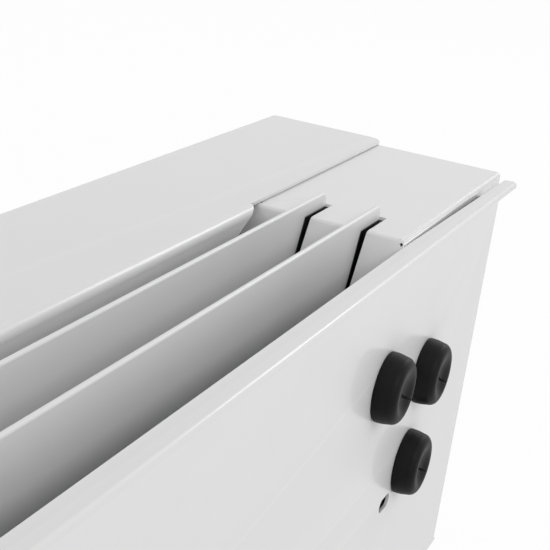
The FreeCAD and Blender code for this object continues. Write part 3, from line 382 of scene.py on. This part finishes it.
# end plates of the outlet: level plate, slope into the duct, rolled rear edge, vane slots
outletEnd = {
    "rollRadius": 2.5 * mm,
    "skirt": 4.8 * mm,
    "rollSteps": 14,
    "rollStart": 0.5 * mm,  # past the bend
    "cornerHole": (1.1 * mm, 2.0 * mm, 1.5 * mm),  # from the rear, below the plate, across
    "tongue": 9.0 * mm,
    "tongueDrop": 25.0 * mm,
    "slotNear": 4.4 * mm,  # from the rod to the slot's rear edge
    "slotWidth": 10.5 * mm,
    "slotEnd": 27.2 * mm,  # past the bend
    "rods": ("vane_rod_front", "vane_rod_rear"),
}


def slopeTongue(section):
    # carries the slope on behind the lip
    sheet, reach = casing["sheet"], coverHigh.x
    front = lipBack + outletEnd["tongue"]
    tongue = sheetBar("tongue", *section, lipBack - 2 * casing["seam"], front, "y")
    low, high = rightLow.z - sheet, plateTop - outletEnd["tongueDrop"]
    below = [rectangle((lipBack - casing["seam"], low), (front + sheet, high))]
    return combine(tongue, blocks("below", below, -reach, reach, "x"), "DIFFERENCE")


def makeOutletEnd(node, side, bend, low, high):
    sheet, seam, relief = casing["sheet"], casing["seam"], casing["relief"]
    tip, edge = bend - side * casing["slopeRun"], high.x if side > 0 else low.x
    rear, foot, roll = low.y, low.z, outletEnd["rollRadius"]
    section, short = [
        bentSheet([(start, plateTop), (bend, plateTop), (tip, foot)][::side], sheet, casing["inside"])
        for start in (edge, bend + side * relief)
    ]
    name = "outletEnd" + ("Right" if side > 0 else "Left")
    piece = sheetBar(name, *section, rear + roll, lipBack - seam, "y")
    combine(piece, slopeTongue(short), "UNION")
    # the part under the cover, and the slope beside the open end of the roll
    start = bend + side * 2 * relief
    shelf = [rectangle((min(start, edge), lipBack - 2 * seam), (max(start, edge), high.y))]
    combine(piece, blocks("shelf", shelf, plateTop - sheet, plateTop, "z"), "UNION")
    strip = sheetBar("strip", *section, rear, rear + roll + seam, "y")
    near, far = bend + side * outletEnd["rollStart"], edge + side * sheet
    away = [rectangle((min(near, far), rear - sheet), (max(near, far), rear + roll + sheet))]
    combine(strip, blocks("away", away, foot - sheet, plateTop + sheet, "z"), "DIFFERENCE")
    combine(piece, strip, "UNION")
    path = [(rear + roll + seam, plateTop), (rear, plateTop), (rear, plateTop - roll - outletEnd["skirt"])]
    rolled = bentSheet(path, sheet, roll - sheet, outletEnd["rollSteps"])
    combine(piece, sheetBar("roll", *rolled, min(near, edge), max(near, edge)), "UNION")
    inward, drop, across = outletEnd["cornerHole"]
    hole = [roundOutline((rear + inward, plateTop - drop), across, across)]
    combine(piece, blocks("hole", hole, bend - 2 * relief, bend + 2 * relief, "x"), "DIFFERENCE")
    cuts = []
    begin, stop = tip - side * sheet, bend + side * outletEnd["slotEnd"]
    for rod in outletEnd["rods"]:
        rodLow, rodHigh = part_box(rod)
        behind = (rodLow.y + rodHigh.y) / 2 - outletEnd["slotNear"]
        ahead = behind + outletEnd["slotWidth"]
        cuts.append(rectangle((min(begin, stop), behind), (max(begin, stop), ahead)))
    combine(piece, blocks("cuts", cuts, foot - sheet, plateTop + sheet, "z"), "DIFFERENCE")
    softEdges(piece, casing["edge"])
    return standFor(piece, node, "casing", "casing_white")


# vanes: blades with a folded hem, rolled round their rods at the lower edge and leaning to the front
vane = {
    "sheet": 1.2 * mm,
    "hem": 10.0 * mm,
    "rise": 54.0 * mm,  # from the rod to the hem, along the blade
    "lean": 2.8,
    "corner": 3.0 * mm,
    "cornerSteps": 8,
    "hemSteps": 8,
    "rollSteps": 36,
    "rollGap": 0.36 * mm,  # from the free end of the roll to the blade
    "edge": 0.2 * mm,
}


def vaneOutline(bore):
    # (out of the blade, up it) round the section: over the hem, down the rear face, round the rod and back up
    wall, rise = vane["sheet"], vane["rise"]
    roll = bore + wall
    outline = []
    for step in range(vane["hemSteps"] + 1):
        angle = math.pi * step / vane["hemSteps"]
        outline.append((wall - roll + wall * math.cos(angle), rise - wall + wall * math.sin(angle)))
    first, last = math.pi, 3 * math.pi - math.acos((roll - wall - vane["rollGap"]) / roll)
    for step in range(vane["rollSteps"] + 1):
        angle = first + (last - first) * step / vane["rollSteps"]
        outline.append((roll * math.cos(angle), roll * math.sin(angle)))
    for step in range(vane["rollSteps"] + 1):
        angle = last + (first - last) * step / vane["rollSteps"]
        outline.append((bore * math.cos(angle), bore * math.sin(angle)))
    outline.append((wall - roll, rise - vane["hem"]))
    outline.append((2 * wall - roll, rise - vane["hem"]))
    return outline


def makeVane(node, body):
    low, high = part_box(node)
    rodLow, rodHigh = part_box(node.replace("vane", "vane_rod"))
    axis = (rodLow + rodHigh) / 2
    bore = axis.z - low.z - vane["sheet"]
    corner, steps, lean = vane["corner"], vane["cornerSteps"], math.radians(-vane["lean"])
    outline = vaneOutline(bore)
    stations = []
    for step in range(steps + 1):
        angle = math.pi / 2 * step / steps
        stations.append((corner * (1 - math.sin(angle)), corner * (1 - math.cos(angle))))
    ends = [(low.x + across, drop) for across, drop in stations[::-1]]
    ends += [(high.x - across, drop) for across, drop in stations]
    verts = []
    for x, drop in ends:
        for out, up in outline:
            lowered = up - drop if up > vane["rise"] - vane["hem"] else up
            leaning = turned(Vector((out, lowered)), lean)
            verts.append((x, axis.y + leaning.x, axis.z + leaning.y))
    count = len(outline)
    faces = [tuple(range(count)), tuple(range(len(verts) - count, len(verts)))]
    for station in range(len(ends) - 1):
        first = station * count
        for step in range(count):
            after = (step + 1) % count
            faces.append((first + step, first + after, first + count + after, first + count + step))
    piece = newPiece("airVane" + node.split("_")[1].capitalize(), verts, faces)
    softEdges(piece, vane["edge"], 2)
    return standFor(piece, node, body, "vane_white")


# cable grommets: rubber drums with barrel sides and a dished, pierced front, creased from the hole to the rim
grommet = {
    "foot": 15.95 * mm,
    "belly": 15.6 * mm,
    "front": 13.85 * mm,
    "height": 10.8 * mm,
    "rim": 4.0 * mm,
    "footRound": 0.6 * mm,
    "dishDepth": 2.2 * mm,
    "dishPower": 1.3,  # above 1 keeps the dish flat round the hole
    "hole": 0.8 * mm,
    "holeDepth": 4.0 * mm,
    "holePlace": (0.8 * mm, -2.2 * mm),  # from the middle of the front
    "creaseAngle": -36.0,
    "creaseSpread": 9.0,
    "creaseWidth": 0.5 * mm,
    "creaseDepth": 0.9 * mm,
    "turns": 84,
    "creaseTurns": 16,
    "dishSteps": 14,
    "rimSteps": 10,
    "sideSteps": 12,
    "footSteps": 5,
}


def sideRadius(share):
    # through the foot, the belly halfway up and the front
    foot, belly, front = grommet["foot"], grommet["belly"], grommet["front"]
    return (foot * (1 - share) * (1 - 2 * share) + belly * 4 * share * (1 - share)
            + front * share * (2 * share - 1))


def grommetRings():
    # (distance out of the panel, radius, nearness to the hole), from the hole to the foot
    height, rim, hole, foot = grommet["height"], grommet["rim"], grommet["hole"], grommet["footRound"]
    floor = height - grommet["dishDepth"]
    rings = [(floor - grommet["holeDepth"], hole, 1.0)]
    shoulder = sideRadius(1 - rim / height)
    inner = shoulder - rim
    for step in range(grommet["dishSteps"]):
        share = step / grommet["dishSteps"]
        sunk = grommet["dishDepth"] * (1 + math.cos(math.pi * share ** grommet["dishPower"])) / 2
        rings.append((height - sunk, hole + (inner - hole) * share, 1 - share))
    for step in range(grommet["rimSteps"] + 1):
        angle = math.pi / 2 * step / grommet["rimSteps"]
        rings.append((height - rim + rim * math.cos(angle), inner + rim * math.sin(angle), 0.0))
    for step in range(1, grommet["sideSteps"] + 1):
        out = (height - rim) + (foot - height + rim) * step / grommet["sideSteps"]
        rings.append((out, sideRadius(out / height), 0.0))
    for step in range(1, grommet["footSteps"] + 1):
        angle = math.pi / 2 * step / grommet["footSteps"]
        rings.append((foot - foot * math.sin(angle), sideRadius(0) - foot + foot * math.cos(angle), 0.0))
    rings.append((0.0, hole, 0.0))
    return rings


def turnAngles():
    # close together round the crease and even elsewhere
    crease, wide = math.radians(grommet["creaseAngle"]), math.radians(grommet["creaseSpread"])
    fine, coarse = grommet["creaseTurns"], grommet["turns"]
    angles = [crease + wide * step / fine for step in range(-fine, fine + 1)]
    angles += [crease + wide + (2 * math.pi - 2 * wide) * step / coarse for step in range(1, coarse)]
    return angles, crease


def makeGrommet(node):
    low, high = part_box(node)
    middle = (low + high) / 2
    rings, (angles, crease) = grommetRings(), turnAngles()
    shiftX, shiftZ = grommet["holePlace"]
    verts = []
    for out, radius, nearness in rings:
        for angle in angles:
            aside = radius * math.remainder(angle - crease, 2 * math.pi) / grommet["creaseWidth"]
            deep = 2 * grommet["creaseDepth"] * math.sqrt(nearness * (1 - nearness))
            sunk = deep * math.exp(-aside * aside)
            x = middle.x + shiftX * nearness + radius * math.cos(angle)
            z = middle.z + shiftZ * nearness + radius * math.sin(angle)
            verts.append((x, panelLow.y - out + sunk, z))
    count = len(angles)
    faces = [tuple(range(count)), tuple(range(len(verts) - count, len(verts)))]
    for ring in range(len(rings) - 1):
        first = ring * count
        for turn in range(count):
            after = (turn + 1) % count
            faces.append((first + turn, first + after, first + count + after, first + count + turn))
    piece = newPiece("rubberGrommet" + node.split("_")[2].capitalize(), verts, faces)
    piece.data.shade_smooth()
    return standFor(piece, node, "casing", "rubber_black")


makeWallPanel()
makeFrontCover()
makeOutletEnd("outlet_end_right", 1, rightBend, rightLow, rightHigh)
makeOutletEnd("outlet_end_left", -1, leftBend, leftLow, leftHigh)
makeVane("vane_front", "vane_front")
makeVane("vane_rear", "vane_rear")
for entry in ("inner", "outer", "lower"):
    makeGrommet("cable_grommet_" + entry)
print("casing, vanes and grommets made")


# shader helpers
def feed(tree, node, sockets):
    # links a socket to each input, or sets a constant on it
    for name, value in sockets.items():
        if isinstance(value, bpy.types.NodeSocket):
            tree.links.new(value, node.inputs[name])
        else:
            node.inputs[name].default_value = value
    return node


def put(tree, kind, sockets=None, **settings):
    node = tree.nodes.new(kind)
    for name, value in settings.items():
        setattr(node, name, value)
    return feed(tree, node, sockets or {})


def maths(tree, operation, first, second=0.0):
    return put(tree, "ShaderNodeMath", {0: first, 1: second}, operation=operation).outputs[0]


def blendColor(tree, share, first, second):
    # the mix node's colours are its inputs 6 and 7, and its output 2
    node = put(tree, "ShaderNodeMix", {0: share, 6: first, 7: second}, data_type="RGBA")
    return node.outputs[2]


def spread(tree, value, low, high):
    # takes 0..1 to low..high
    return put(tree, "ShaderNodeMapRange", {0: value, 3: low, 4: high}).outputs[0]


def shaderGroup(name, inputs, outputs):
    group = bpy.data.node_groups.new(name, "ShaderNodeTree")
    kinds = {"color": "NodeSocketColor", "value": "NodeSocketFloat"}
    for label, kind, value in inputs:
        socket = group.interface.new_socket(name=label, in_out="INPUT", socket_type=kinds[kind])
        socket.default_value = value
    for label, kind in outputs:
        group.interface.new_socket(name=label, in_out="OUTPUT", socket_type=kinds[kind])
    return group, group.nodes.new("NodeGroupInput").outputs, group.nodes.new("NodeGroupOutput")


# textures inside the shared groups
textures = {
    "peel": {"Detail": 2.0},
    "cloud": {"Scale": 14.0, "Detail": 3.0},
    "cloudGloss": 2.0,  # change in gloss for a change in tone
    "patch": {"Scale": 60.0, "Detail": 4.0},
    "patchRange": (0.4, 1.4),
    "specks": {"Detail": 6.0, "Roughness": 0.7},
}


def coatGrainGroup():
    # sprayed powder: fine orange peel, faint clouds in tone and gloss
    group, given, result = shaderGroup(
        "coatGrain",
        [("Color", "color", (0.8, 0.8, 0.8, 1)), ("Roughness", "value", 0.4),
         ("Grain Scale", "value", 1500.0), ("Cloud", "value", 0.02)],
        [("Color", "color"), ("Roughness", "value"), ("Height", "value")])
    where = put(group, "ShaderNodeTexCoord").outputs["Object"]
    peel = put(group, "ShaderNodeTexNoise",
               {"Vector": where, "Scale": given["Grain Scale"], **textures["peel"]})
    cloud = put(group, "ShaderNodeTexNoise", {"Vector": where, **textures["cloud"]})
    shade = maths(group, "MULTIPLY", spread(group, cloud.outputs[0], -1.0, 1.0), given["Cloud"])
    bright = maths(group, "ADD", shade, 1.0)
    tint = put(group, "ShaderNodeHueSaturation", {"Value": bright, "Color": given["Color"]})
    rougher = maths(group, "MULTIPLY", shade, textures["cloudGloss"])
    gloss = maths(group, "ADD", given["Roughness"], rougher)
    group.links.new(tint.outputs[0], result.inputs["Color"])
    group.links.new(gloss, result.inputs["Roughness"])
    group.links.new(peel.outputs[0], result.inputs["Height"])
    return group


def edgeWearAndHighlightGroup():
    # a mask along convex corners: on the white coat its lighter colour is a painted highlight along the
    # bends, on the rubber it is rubbed wear
    group, given, result = shaderGroup(
        "edgeWearAndHighlight",
        [("Color", "color", (0.8, 0.8, 0.8, 1)), ("Edge Color", "color", (0.9, 0.9, 0.9, 1)),
         ("Amount", "value", 0.3), ("Sharpness", "value", 12.0)],
        [("Color", "color"), ("Mask", "value")])
    bulge = put(group, "ShaderNodeNewGeometry").outputs["Pointiness"]
    lifted = maths(group, "MULTIPLY", maths(group, "SUBTRACT", bulge, 0.5), given["Sharpness"])
    where = put(group, "ShaderNodeTexCoord").outputs["Object"]
    patch = put(group, "ShaderNodeTexNoise", {"Vector": where, **textures["patch"]})
    broken = maths(group, "MULTIPLY", lifted, spread(group, patch.outputs[0], *textures["patchRange"]))
    clamp = put(group, "ShaderNodeClamp", {"Value": broken})
    mask = maths(group, "MULTIPLY", clamp.outputs[0], given["Amount"])
    group.links.new(blendColor(group, mask, given["Color"], given["Edge Color"]), result.inputs["Color"])
    group.links.new(mask, result.inputs["Mask"])
    return group


def settledDustGroup():
    # thin dust on what faces up
    group, given, result = shaderGroup(
        "settledDust",
        [("Color", "color", (0.5, 0.5, 0.5, 1)), ("Dust Color", "color", (0.55, 0.53, 0.5, 1)),
         ("Amount", "value", 0.15), ("Scale", "value", 40.0)],
        [("Color", "color"), ("Mask", "value")])
    where = put(group, "ShaderNodeTexCoord").outputs["Object"]
    specks = put(group, "ShaderNodeTexNoise",
                 {"Vector": where, "Scale": given["Scale"], **textures["specks"]})
    facing = put(group, "ShaderNodeSeparateXYZ", {0: put(group, "ShaderNodeNewGeometry").outputs["Normal"]})
    upward = put(group, "ShaderNodeClamp", {"Value": facing.outputs[2]})
    settled = maths(group, "MULTIPLY", upward.outputs[0], specks.outputs[0])
    mask = maths(group, "MULTIPLY", settled, given["Amount"])
    group.links.new(blendColor(group, mask, given["Color"], given["Dust Color"]), result.inputs["Color"])
    group.links.new(mask, result.inputs["Mask"])
    return group


def sheltered(group, given, where):
    # how deep a point lies under the outlet's end plates, below 0 outside them
    place = put(group, "ShaderNodeSeparateXYZ", {0: where}).outputs
    depth = maths(group, "SUBTRACT", given["Plate Level"], place[2])
    run = maths(group, "MULTIPLY", depth, given["Slope"])
    right = maths(group, "ADD", maths(group, "SUBTRACT", place[0], given["Right Bend"]), run)
    left = maths(group, "ADD", maths(group, "SUBTRACT", given["Left Bend"], place[0]), run)
    return maths(group, "MINIMUM", maths(group, "MAXIMUM", right, left), depth)


def paintedCasingShadeGroup():
    # painted shade: the vanes' ends, which stay inside the casing, are coloured near black for the shade
    # there
    group, given, result = shaderGroup(
        "paintedCasingShade",
        [("Color", "color", (0.8, 0.8, 0.8, 1)), ("Shade Color", "color", (0.004, 0.004, 0.004, 1)),
         ("Plate Level", "value", 0.21), ("Slope", "value", 0.3), ("Right Bend", "value", 0.3),
         ("Left Bend", "value", -0.4), ("Start", "value", 0.0), ("Full", "value", 0.001)],
        [("Color", "color"), ("Mask", "value")])
    where = put(group, "ShaderNodeTexCoord").outputs["Object"]
    depth = sheltered(group, given, where)
    # painted shade: the colour goes near black below the plate level and past the slope
    ramp = put(group, "ShaderNodeMapRange",
               {"Value": depth, "From Min": given["Start"], "From Max": given["Full"]})
    mask = ramp.outputs[0]
    group.links.new(blendColor(group, mask, given["Color"], given["Shade Color"]), result.inputs["Color"])
    group.links.new(mask, result.inputs["Mask"])
    return group


coatGrain = coatGrainGroup()
paintedCasingShade = paintedCasingShadeGroup()
edgeWearAndHighlight = edgeWearAndHighlightGroup()
settledDust = settledDustGroup()


def newMaterial(name):
    item = bpy.data.materials.new(name)
    item.use_nodes = True
    tree = item.node_tree
    shader = tree.nodes["Principled BSDF"]
    return item, tree, shader


def putGroup(tree, group, sockets):
    node = tree.nodes.new("ShaderNodeGroup")
    node.node_tree = group
    return feed(tree, node, sockets).outputs


def relief(tree, shader, height, strength, distance):
    bump = put(tree, "ShaderNodeBump", {"Height": height, "Strength": strength, "Distance": distance})
    tree.links.new(bump.outputs[0], shader.inputs["Normal"])


# white powder coat
whiteCoat = {
    # the lighter edge colour of both coats is a painted highlight along bends and corners
    "casing": {"color": (0.735, 0.735, 0.735, 1), "edge": (0.80, 0.80, 0.80, 1), "roughness": 0.34},
    "vane": {"color": (0.735, 0.735, 0.735, 1), "edge": (0.80, 0.80, 0.80, 1), "roughness": 0.4,
             # painted shade: the vanes' ends inside the casing turn near black
             "paintedShade": {"Start": 0.2 * mm, "Full": 1.2 * mm, "Plate Level": plateTop, "Right Bend": rightBend,
                       "Left Bend": leftBend, "Slope": casing["slopeRun"] / (plateTop - rightLow.z)}},
    "grain": {"Grain Scale": 1300.0, "Cloud": 0.012},
    "wearAndHighlight": {"Amount": 0.5, "Sharpness": 6.0},
    "dust": {"Dust Color": (0.70, 0.69, 0.67, 1), "Amount": 0.05, "Scale": 25.0},
    "relief": (0.03, 0.1 * mm),  # strength, distance
    "specular": 0.35,
    "clearCoat": 0.2,
    "clearRoughness": 0.08,
}


def coatMaterial(name, values):
    item, tree, shader = newMaterial(name)
    grain = putGroup(tree, coatGrain, {"Color": values["color"], "Roughness": values["roughness"],
                                       **whiteCoat["grain"]})
    # painted highlight: lighter colour along the coat's bends and corners
    wornAndHighlit = putGroup(tree, edgeWearAndHighlight, {"Color": grain["Color"], "Edge Color": values["edge"],
                                     **whiteCoat["wearAndHighlight"]})
    dusty = putGroup(tree, settledDust, {"Color": wornAndHighlit["Color"], **whiteCoat["dust"]})
    color = dusty["Color"]
    # painted shade on the vanes' ends inside the casing
    if "paintedShade" in values:
        color = putGroup(tree, paintedCasingShade, {"Color": color, **values["paintedShade"]})["Color"]
    tree.links.new(color, shader.inputs["Base Color"])
    tree.links.new(maths(tree, "ADD", grain["Roughness"], dusty["Mask"]), shader.inputs["Roughness"])
    shader.inputs["Specular IOR Level"].default_value = whiteCoat["specular"]
    shader.inputs["Coat Weight"].default_value = whiteCoat["clearCoat"]
    shader.inputs["Coat Roughness"].default_value = whiteCoat["clearRoughness"]
    relief(tree, shader, grain["Height"], *whiteCoat["relief"])
    return item


# moulded black rubber
blackRubber = {
    "color": (0.006, 0.006, 0.0063, 1),
    "rubbed": (0.02, 0.02, 0.021, 1),
    "roughness": (0.42, 0.52),
    "bloom": {"Scale": 130.0, "Detail": 5.0, "Roughness": 0.65},
    "pits": {"Scale": 2600.0, "Detail": 2.0},
    "wearAndHighlight": {"Amount": 0.5, "Sharpness": 8.0},
    "dust": {"Dust Color": (0.06, 0.06, 0.06, 1), "Amount": 0.12, "Scale": 220.0},
    "relief": (0.12, 0.1 * mm),
    "specular": 0.11,
}


def rubberMaterial():
    item, tree, shader = newMaterial("mouldedRubber")
    where = put(tree, "ShaderNodeTexCoord").outputs["Object"]
    bloom = put(tree, "ShaderNodeTexNoise", {"Vector": where, **blackRubber["bloom"]})
    pits = put(tree, "ShaderNodeTexNoise", {"Vector": where, **blackRubber["pits"]})
    wornAndHighlit = putGroup(tree, edgeWearAndHighlight, {"Color": blackRubber["color"], "Edge Color": blackRubber["rubbed"],
                                     **blackRubber["wearAndHighlight"]})
    dusty = putGroup(tree, settledDust, {"Color": wornAndHighlit["Color"], **blackRubber["dust"]})
    tree.links.new(dusty["Color"], shader.inputs["Base Color"])
    tree.links.new(spread(tree, bloom.outputs[0], *blackRubber["roughness"]), shader.inputs["Roughness"])
    shader.inputs["Specular IOR Level"].default_value = blackRubber["specular"]
    relief(tree, shader, pits.outputs[0], *blackRubber["relief"])
    return item


# bare and plated metals
metals = {
    "galvanised": {"color": (0.52, 0.53, 0.54, 1), "dark": (0.36, 0.37, 0.385, 1),
                   "roughness": (0.34, 0.55), "spangle": 120.0},
    "rotorAluminium": {"color": (0.70, 0.70, 0.71, 1), "dark": (0.58, 0.58, 0.59, 1),
                       "roughness": (0.3, 0.45), "spangle": 400.0},
    "platedSteel": {"color": (0.62, 0.62, 0.63, 1), "dark": (0.50, 0.50, 0.51, 1),
                    "roughness": (0.22, 0.38), "spangle": 700.0},
    "heaterSheath": {"color": (0.26, 0.24, 0.22, 1), "dark": (0.16, 0.14, 0.13, 1),
                     "roughness": (0.4, 0.6), "spangle": 260.0},
}
metalDust = {"Amount": 0.2, "Scale": 60.0}
metalRelief = (0.05, 0.1 * mm)


def metalMaterial(name):
    values = metals[name]
    item, tree, shader = newMaterial(name)
    where = put(tree, "ShaderNodeTexCoord").outputs["Object"]
    crystals = put(tree, "ShaderNodeTexVoronoi", {"Vector": where, "Scale": values["spangle"]})
    tone = put(tree, "ShaderNodeSeparateColor", {0: crystals.outputs["Color"]})
    color = blendColor(tree, tone.outputs[0], values["dark"], values["color"])
    dusty = putGroup(tree, settledDust, {"Color": color, **metalDust})
    tree.links.new(dusty["Color"], shader.inputs["Base Color"])
    tree.links.new(spread(tree, tone.outputs[1], *values["roughness"]), shader.inputs["Roughness"])
    shader.inputs["Metallic"].default_value = 1.0
    relief(tree, shader, tone.outputs[2], *metalRelief)
    return item


# moulded plastics, lacquer and board
plastics = {
    "motorLacquer": {"color": (0.025, 0.025, 0.027, 1), "edge": (0.10, 0.10, 0.10, 1), "roughness": 0.38},
    "cutoutPhenolic": {"color": (0.022, 0.02, 0.019, 1), "edge": (0.06, 0.055, 0.05, 1), "roughness": 0.45},
    "terminalNylon": {"color": (0.42, 0.43, 0.44, 1), "edge": (0.5, 0.5, 0.5, 1), "roughness": 0.5},
    "boardLacquer": {"color": (0.02, 0.13, 0.05, 1), "edge": (0.16, 0.2, 0.08, 1), "roughness": 0.3},
    "relayCase": {"color": (0.02, 0.02, 0.024, 1), "edge": (0.06, 0.06, 0.06, 1), "roughness": 0.3},
    "capacitorCase": {"color": (0.72, 0.72, 0.70, 1), "edge": (0.8, 0.8, 0.78, 1), "roughness": 0.35},
    "saddleNylon": {"color": (0.36, 0.36, 0.36, 1), "edge": (0.45, 0.45, 0.45, 1), "roughness": 0.5},
}
plasticGrain = {"Grain Scale": 2200.0, "Cloud": 0.05}
plasticWear = {"Amount": 0.5, "Sharpness": 8.0}
plasticDust = {"Amount": 0.12, "Scale": 80.0}
plasticRelief = (0.08, 0.1 * mm)


def plasticMaterial(name):
    values = plastics[name]
    item, tree, shader = newMaterial(name)
    grain = putGroup(tree, coatGrain, {"Color": values["color"], "Roughness": values["roughness"],
                                       **plasticGrain})
    wornAndHighlit = putGroup(tree, edgeWearAndHighlight, {"Color": grain["Color"], "Edge Color": values["edge"], **plasticWear})
    dusty = putGroup(tree, settledDust, {"Color": wornAndHighlit["Color"], **plasticDust})
    tree.links.new(dusty["Color"], shader.inputs["Base Color"])
    tree.links.new(grain["Roughness"], shader.inputs["Roughness"])
    relief(tree, shader, grain["Height"], *plasticRelief)
    return item


finishes = {
    "casing_white": coatMaterial("casingCoat", whiteCoat["casing"]),
    "vane_white": coatMaterial("vaneCoat", whiteCoat["vane"]),
    "rubber_black": rubberMaterial(),
    "galvanised": metalMaterial("galvanised"),
    "rotor_aluminium": metalMaterial("rotorAluminium"),
    "bright_steel": metalMaterial("platedSteel"),
    "heater_sheath": metalMaterial("heaterSheath"),
    "motor_black": plasticMaterial("motorLacquer"),
    "cutout_black": plasticMaterial("cutoutPhenolic"),
    "terminal_grey": plasticMaterial("terminalNylon"),
    "board_green": plasticMaterial("boardLacquer"),
    "relay_black": plasticMaterial("relayCase"),
    "capacitor_white": plasticMaterial("capacitorCase"),
    "saddle_grey": plasticMaterial("saddleNylon"),
}


def dress(piece, slot):
    piece.data.materials.clear()
    piece.data.materials.append(finishes[slot])


for part in frame["record"]["subparts"]:
    dress(nodes[part["node"]], part["material_slot"])
for piece in bpy.context.scene.objects:
    if "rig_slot" in piece:
        dress(piece, piece["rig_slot"])
print("materials:", len(finishes))


# pale floor and even studio light
studio = {
    "floorSize": 8.0,
    "floorDrop": 0.2 * mm,
    "floorColor": (0.86, 0.86, 0.86, 1),
    "floorGlow": 0.95,
    "dome": 0.73,
    "lamps": {
        "key": {"place": (-0.4, -1.7, 1.5), "aim": (0.1, -0.05, 0.15), "size": 0.6, "power": 8.5},
        "rim": {"place": (2.13, -0.48, 1.02), "aim": (0.35, -0.08, 0.2), "size": 0.5, "power": 4.5},
    },
}


def makeStage():
    half = studio["floorSize"] / 2
    level = cadBox[0].z - studio["floorDrop"]
    corners = [(x, y, level) for x, y in rectangle((-half, -half), (half, half))]
    floor = newPiece("floor", corners, [(0, 1, 2, 3)])
    item = bpy.data.materials.new("paleFloor")
    item.use_nodes = True
    tree = item.node_tree
    tree.nodes.remove(tree.nodes["Principled BSDF"])
    matt = put(tree, "ShaderNodeBsdfDiffuse", {"Color": studio["floorColor"]})
    glow = put(tree, "ShaderNodeEmission", {"Color": (1, 1, 1, 1), "Strength": 1.0})
    seen = maths(tree, "MULTIPLY", seenRays(tree), studio["floorGlow"])
    mix = put(tree, "ShaderNodeMixShader", {0: seen, 1: matt.outputs[0], 2: glow.outputs[0]})
    tree.links.new(mix.outputs[0], tree.nodes["Material Output"].inputs[0])
    floor.data.materials.append(item)


def seenRays(tree):
    rays = put(tree, "ShaderNodeLightPath").outputs
    either = maths(tree, "MAXIMUM", rays["Is Camera Ray"], rays["Is Glossy Ray"])
    return maths(tree, "MAXIMUM", either, rays["Is Transmission Ray"])


def makeLight():
    world = bpy.data.worlds.new("studio")
    bpy.context.scene.world = world
    world.use_nodes = True
    tree = world.node_tree
    dome = tree.nodes["Background"]
    dome.inputs["Color"].default_value = (1, 1, 1, 1)
    tree.links.new(spread(tree, seenRays(tree), studio["dome"], 1.0), dome.inputs["Strength"])
    for name, values in studio["lamps"].items():
        data = bpy.data.lights.new(name, "AREA")
        data.size = values["size"]
        data.energy = values["power"]
        lamp = bpy.data.objects.new(name, data)
        bpy.context.scene.collection.objects.link(lamp)
        lamp.location = values["place"]
        lamp.rotation_euler = (Vector(values["aim"]) - lamp.location).to_track_quat("-Z", "Y").to_euler()


makeStage()
makeLight()
bpy.context.scene.view_settings.view_transform = "Standard"
print("stage and light set")


# camera at the photograph's viewpoint
camera = {
    "place": (-0.25125, -0.22997, 0.38678),
    "lookAt": (0.22633, -0.04627, 0.21424),
    "roll": 8.087,
    "focalPixels": 1400,
    "imagePixels": 550,
    "sensor": 36.0,
    "nearest": 0.01,
}


def makeCamera():
    data = bpy.data.cameras.new("camera")
    data.sensor_width = camera["sensor"]
    data.lens = camera["sensor"] * camera["focalPixels"] / camera["imagePixels"]
    data.clip_start = camera["nearest"]
    item = bpy.data.objects.new("camera", data)
    bpy.context.scene.collection.objects.link(item)
    place, lookAt = Vector(camera["place"]), Vector(camera["lookAt"])
    item.location = place
    item.rotation_mode = "QUATERNION"
    level = (lookAt - place).to_track_quat("-Z", "Y")
    item.rotation_quaternion = level @ Quaternion((0, 0, 1), math.radians(camera["roll"]))
    bpy.context.scene.camera = item


makeCamera()
